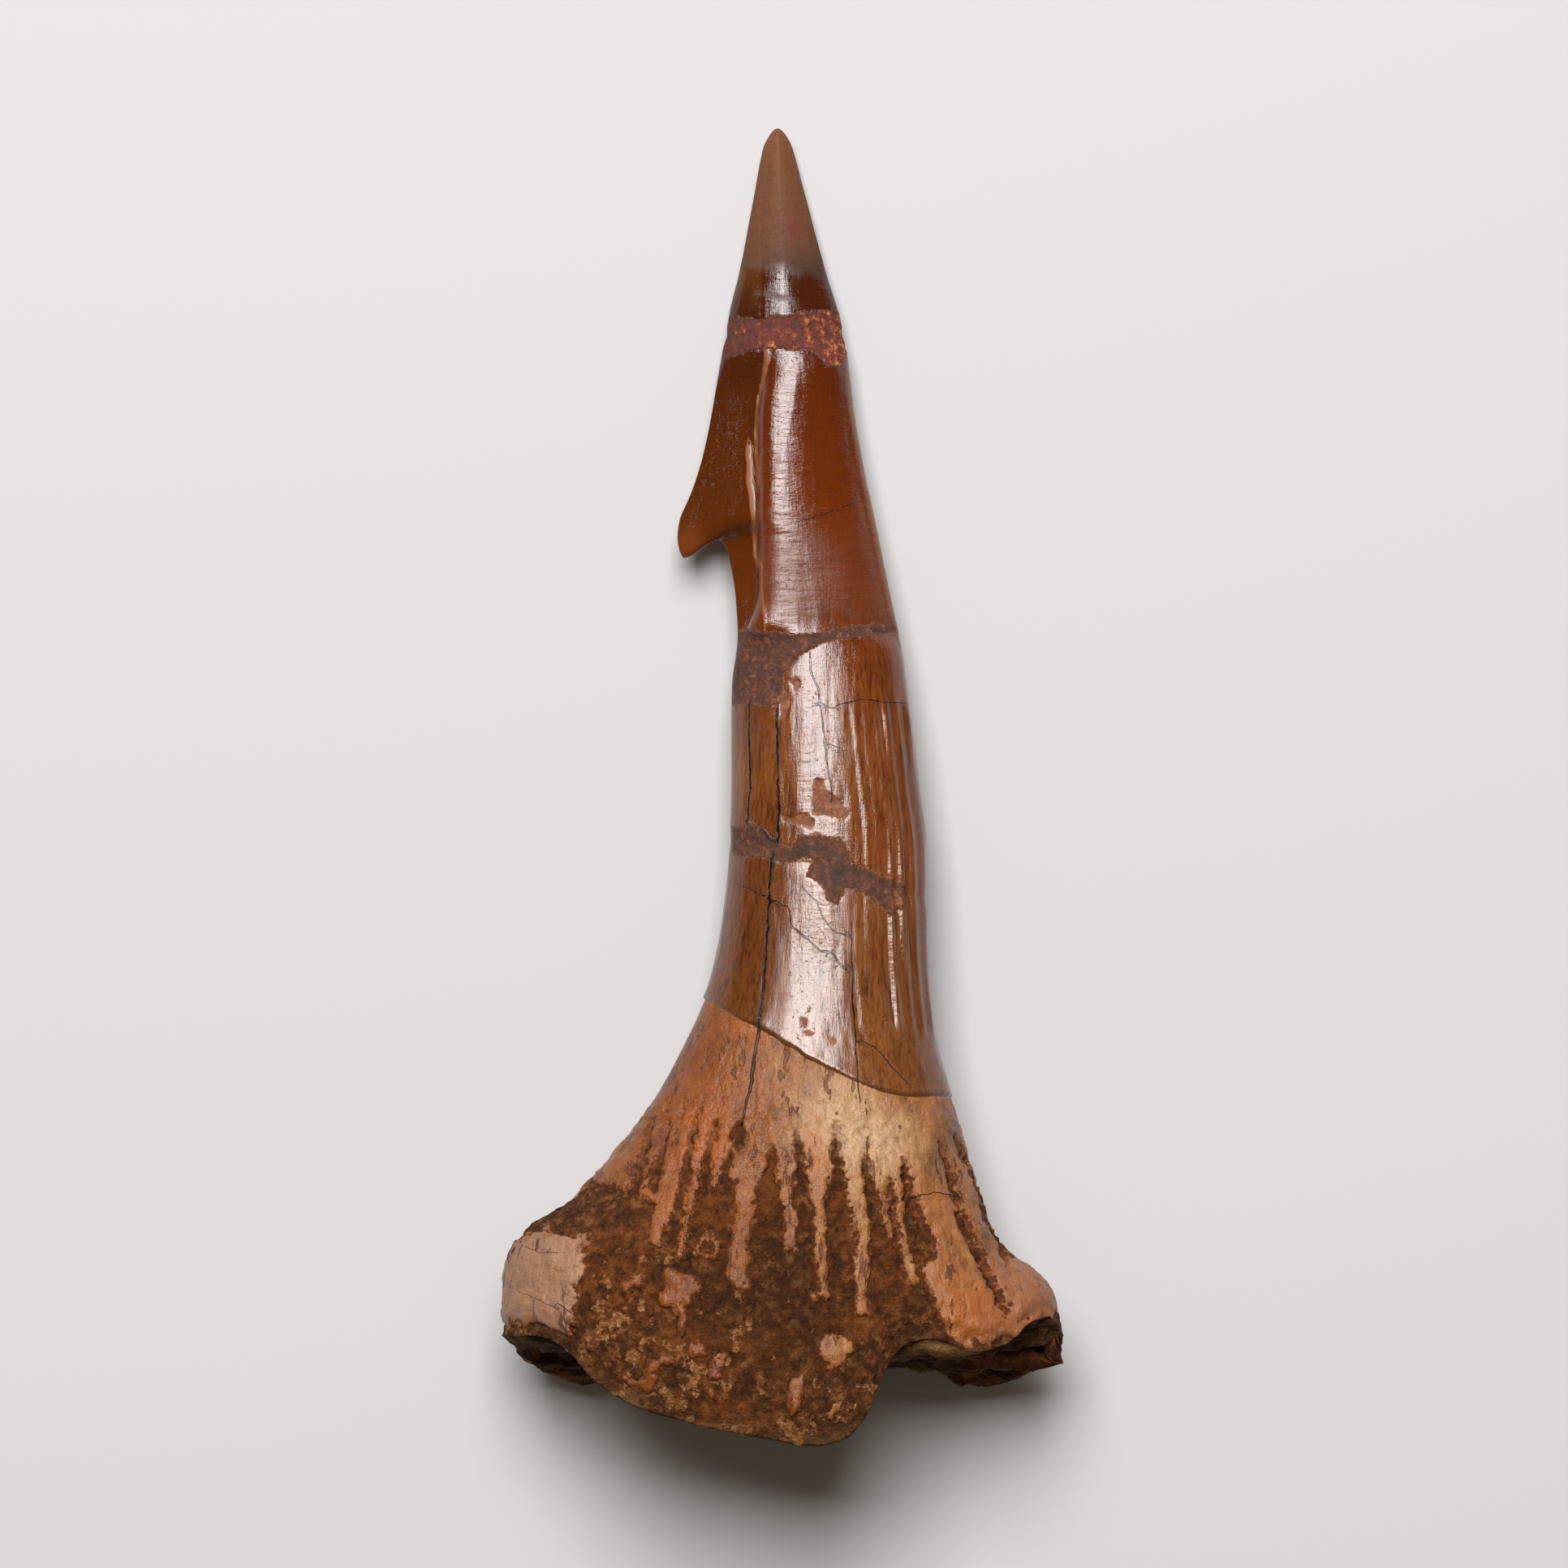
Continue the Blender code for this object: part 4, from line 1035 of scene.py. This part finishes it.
    # Polish, worn to satin in places, and matt in the breaks
    dull = node("MapRange", {0: scuffs, 1: 0.55, 2: 0.75, 3: 0.1, 4: 0.3})
    dull = node("Math", {0: satin, 1: 0.62, 2: dull}, **TIMES_PLUS)
    specks = node("Math", {0: clouds, 1: 0.35, 2: specks}, **TIMES_PLUS)
    specks = node("MapRange", {0: specks, 1: 0.85, 2: 0.88, 4: 0.55})
    matt = torn
    for rough_place in (lost, lip_mask, specks):
        matt = node("Math", {0: matt, 1: rough_place}, operation="MAXIMUM")
    dull = node("Mix", {0: matt, 2: dull, 3: 0.72}, data_type="FLOAT")

    relief = node("Math", {0: threads, 1: 0.25}, **TIMES)
    ripple = node("MapRange", {0: blade, 3: 0.7, 4: 0.04})
    torn_gloss = node("MapRange", {0: y, 1: 6.0, 2: 9.0, 3: 0.35, 4: 1.2})
    ripple = node("Math", {0: ripple, 1: torn_gloss}, **TIMES)
    ripple = node("Math", {0: scuffs, 1: ripple}, **TIMES)
    relief = node("Math", {0: relief, 1: ripple})
    pitted = node("Math", {0: grit, 1: torn}, **TIMES)
    for part, height in ((pitted, 2.2), (crack_line, -1.2), (specks, -1.1)):
        relief = node("Math", {0: part, 1: height, 2: relief}, **TIMES_PLUS)
    bump = node("Bump", {"Strength": 0.8, "Distance": 0.00007, "Height": relief})
    fill(shader, {"Base Color": colour, "Roughness": dull, "Normal": bump, "IOR": 1.63})
    return material


def fossil_bone():
    """Fossil bone of the root, worn smooth: tan phosphate with a waxy gloss, stained in its pores."""
    material, node, shader = blank("fossil_bone")
    place = node("TexCoord", {}, out=3)
    mm, along = (node("VectorMath", {0: place, 1: scale}, **TIMES) for scale in (TO_MM, (1000, 180, 1000)))
    x, y = (node("SeparateXYZ", {0: mm}, out=axis) for axis in (0, 1))
    shown, crack = (node("Attribute", {}, out=2, attribute_name=name) for name in ("shown", "crack"))
    fibres, clouds, grit, pores = (
        node("TexNoise", {"Vector": space, "Scale": scale, "Detail": detail, "Roughness": rough})
        for space, scale, detail, rough in (
            (along, 2.2, 5.0, 0.6), (mm, 0.5, 4.0, 0.6), (mm, 4.0, 4.0, 0.65), (along, 1.5, 3.0, 0.7),
        )
    )

    # Tan, browner on the left, streaked along the fibres
    drift = node("Math", {0: clouds, 1: 7.0, 2: -3.5}, **TIMES_PLUS)
    x_moved = node("Math", {0: x, 1: drift})
    level = node("MapRange", {0: x_moved, 1: -13.0, 2: 13.0})
    colour = node("ValToRGB", {0: level}, stops=[
        (0.0, "#94643c"), (0.2, "#8c5418"), (0.34, "#864a0c"), (0.46, "#90581e"), (0.62, "#ac7e48"),
        (0.72, "#aa7a44"), (0.84, "#aa7242"), (1.0, "#94603e"),
    ])
    tone = node("MapRange", {0: fibres, 1: 0.3, 2: 0.7})
    tone = node("ValToRGB", {0: tone}, stops=[(0.0, "#8e6444"), (0.4, "#dcc8ae"), (1.0, "#fff4e4")])
    colour = node("Mix", {0: 0.9, 6: colour, 7: tone}, **BLEND, blend_type="MULTIPLY")
    low = node("MapRange", {0: y, 1: -15.0, 2: -17.5, 3: 0.15})
    orange = node("MapRange", {0: clouds, 1: 0.48, 2: 0.66, 4: 0.6})
    orange = node("Math", {0: orange, 1: low}, **TIMES)
    colour = overlaid(node, colour, [(orange, "#a0602f")])
    speckled = node("MapRange", {0: grit, 1: 0.35, 2: 0.65, 3: 0.55, 4: 1.15})
    colour = stained(node, colour, speckled, BONE_STAINS)

    # Pores, dirt near and under the sediment, and cracks
    pore = node("MapRange", {0: pores, 1: 0.6, 2: 0.64, 4: 0.85})
    torn = node("Math", {0: grit, 1: 0.9, 2: -0.45}, **TIMES_PLUS)
    torn = node("Math", {0: shown, 1: torn})
    near = node("MapRange", {0: torn, 1: 0.22, 2: 0.06, 4: 0.6}, **SMOOTH)
    near = node("Math", {0: near, 1: low}, **TIMES)
    dirt = node("ValToRGB", {0: grit}, stops=[(0.3, "#3a1c04"), (0.5, "#5e2e0a"), (0.7, "#8a4e1c")])
    covered = node("MapRange", {0: torn, 1: 0.09, 2: 0.04}, **SMOOTH)
    covered = node("Math", {0: covered, 1: low}, **TIMES)
    crack_line = node("Math", {0: crack}, **AWAY)
    crack_line = node("MapRange", {0: crack_line, 1: 1.2, 2: 0.5, 4: 0.9}, **SMOOTH)
    colour = overlaid(node, colour, [
        (pore, "#5a2a12"),
        (near, "#8a4c20"),
        (covered, dirt),
        (crack_line, "#2c1512"),
    ])

    dull = node("MapRange", {0: grit, 1: 0.38, 2: 0.68, 3: 0.12, 4: 0.4})
    waxy = node("MapRange", {0: y, 1: -16.5, 2: -20.0, 4: 0.1})
    dull = node("Math", {0: dull, 1: waxy})
    dull = node("Mix", {0: covered, 2: dull, 3: 0.9}, data_type="FLOAT")
    relief = node("Math", {0: fibres, 1: 0.8}, **TIMES)
    for part, height in ((grit, 0.5), (crack_line, -1.0), (pore, -0.3)):
        relief = node("Math", {0: part, 1: height, 2: relief}, **TIMES_PLUS)
    bump = node("Bump", {"Strength": 1.0, "Distance": 0.00016, "Height": relief})
    fill(shader, {"Base Color": colour, "Roughness": dull, "Normal": bump, "IOR": 1.55})
    fill(shader, {"Specular IOR Level": 0.35})
    return material


def ironstone():
    """Iron-stained sandy sediment, set hard: matt dark brown with tan, orange and grey grains."""
    material, node, shader = blank("ironstone_sediment")
    place = node("TexCoord", {}, out=3)
    mm, bands = (node("VectorMath", {0: place, 1: scale}, **TIMES) for scale in (TO_MM, (220, 1000, 1400)))
    below, flecked = (node("Attribute", {}, out=2, attribute_name=name) for name in ("below", "flecked"))
    clouds, mottle, grit, spread, layers = (
        node("TexNoise", {"Vector": space, "Scale": scale, "Detail": detail, "Roughness": rough})
        for space, scale, detail, rough in (
            (mm, 0.5, 4.0, 0.6), (mm, 1.5, 6.0, 0.75), (mm, 4.0, 5.0, 0.7), (mm, 0.8, 6.0, 0.66),
            (bands, 1.2, 5.0, 0.7),
        )
    )
    grain = node("TexVoronoi", {"Vector": mm, "Scale": 4.5}, out=1)
    grain = node("SeparateColor", {0: grain})
    colour = node("ValToRGB", {0: clouds}, stops=[
        (0.0, "#2c1c0c"), (0.4, "#462812"), (0.5, "#5a3218"), (0.6, "#764018"), (1.0, "#8c5224"),
    ])
    speckle = node("ValToRGB", {0: mottle}, stops=[
        (0.0, "#140c05"), (0.38, "#2c1a0c"), (0.48, "#542e14"), (0.55, "#7c481e"), (0.62, "#b47844"),
        (1.0, "#dcb48c"),
    ])
    tinted = node("ValToRGB", {0: grain}, stops=[
        (0.0, "#1e1208"), (0.55, "#4e2a12"), (0.9, "#7a461c"), (0.97, "#a07044"), (1.0, "#9a8468"),
    ])
    colour = overlaid(node, colour, [(0.66, speckle), (0.25, tinted)])
    speckled = node("MapRange", {0: mottle, 1: 0.36, 2: 0.66, 4: 1.6})
    colour = stained(node, colour, speckled, CRUST_STAINS)

    # Pale flecks, then the banded stone of the broken underside
    fleck = node("Math", {0: flecked, 1: 0.19, 2: spread}, **TIMES_PLUS)
    fleck = node("MapRange", {0: fleck, 1: 0.73, 2: 0.76}, **SMOOTH)
    crumbs = node("ValToRGB", {0: grit}, stops=[(0.3, "#743e16"), (0.5, "#a46a3a"), (0.7, "#d0a878")])
    under = node("ValToRGB", {0: layers}, stops=[
        (0.0, "#0c0603"), (0.4, "#26160a"), (0.5, "#523820"), (0.6, "#8a683e"), (1.0, "#b89870"),
    ])
    mostly = node("Math", {0: below, 1: 0.75}, **TIMES)
    colour = overlaid(node, colour, [(fleck, crumbs), (mostly, under)])
    dull = node("MapRange", {0: grain, 1: 0.9, 2: 0.98, 3: 0.85, 4: 0.45})
    relief = node("Math", {0: mottle, 1: 1.2, 2: grit}, **TIMES_PLUS)
    relief = node("Math", {0: fleck, 1: 0.25, 2: relief}, **TIMES_PLUS)
    bump = node("Bump", {"Strength": 1.0, "Distance": 0.0003, "Height": relief})
    fill(shader, {"Base Color": colour, "Roughness": dull, "Normal": bump, "IOR": 1.5})
    fill(shader, {"Specular IOR Level": 0.2})
    return material


def table_top():
    """Painted board, matt and pale: it gives back soft light and shows the tooth's shadow."""
    material, _, shader = blank("pale_painted_board")
    fill(shader, {"Base Color": linear("#cfd0d2"), "Roughness": 0.8})
    half = TABLE_HALF_WIDTH
    mesh = bpy.data.meshes.new("table_top")
    corners = [(-half, -half, 0), (half, -half, 0), (half, half, 0), (-half, half, 0)]
    mesh.from_pydata(corners, [], [(0, 1, 2, 3)])
    mesh.materials.append(material)
    floor = bpy.data.objects.new("table_top", mesh)
    bpy.context.scene.collection.objects.link(floor)


def softbox():
    """The one softbox, above and beyond the tip, turned towards the tooth."""
    light = bpy.data.lights.new("softbox", "AREA")
    light.shape = "RECTANGLE"
    light.size, light.size_y = SOFTBOX_SIZE
    light.energy = SOFTBOX_WATTS
    light.color = linear("#fffcfa")[:3]
    lamp = bpy.data.objects.new("softbox", light)
    lamp.location = SOFTBOX_PLACE
    x, y, z = SOFTBOX_PLACE
    lamp.rotation_euler = (math.atan2(-y, z), math.atan2(x, math.hypot(y, z)), 0.0)
    lamp.visible_camera = False
    bpy.context.scene.collection.objects.link(lamp)


def studio():
    """The softbox, a dim warm surround, and the camera that looks straight down."""
    world = bpy.data.worlds.new("studio")
    world.use_nodes = True
    surround = world.node_tree.nodes["Background"]
    fill(surround, {"Color": linear("#d6c2a6"), "Strength": WORLD_STRENGTH})
    bpy.context.scene.world = world
    softbox()
    camera = bpy.data.cameras.new("camera")
    camera.lens = LENS
    camera.sensor_width = SENSOR_WIDTH
    camera.clip_start = 0.01
    view = bpy.data.objects.new("camera", camera)
    view.location = (0.0, 0.0, PICTURE_WIDTH * LENS / SENSOR_WIDTH + EDGE_HEIGHT)
    bpy.context.scene.collection.objects.link(view)
    bpy.context.scene.camera = view
    bpy.context.scene.view_settings.view_transform = "Standard"


def main():
    """Makes the three shells and says what each one rides on, replaces and is made of."""
    studio()
    table_top()
    for piece in (crown(enameloid()), root(fossil_bone()), sediment(ironstone())):
        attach(piece, "root")
        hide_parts("rostral_tooth")


main()
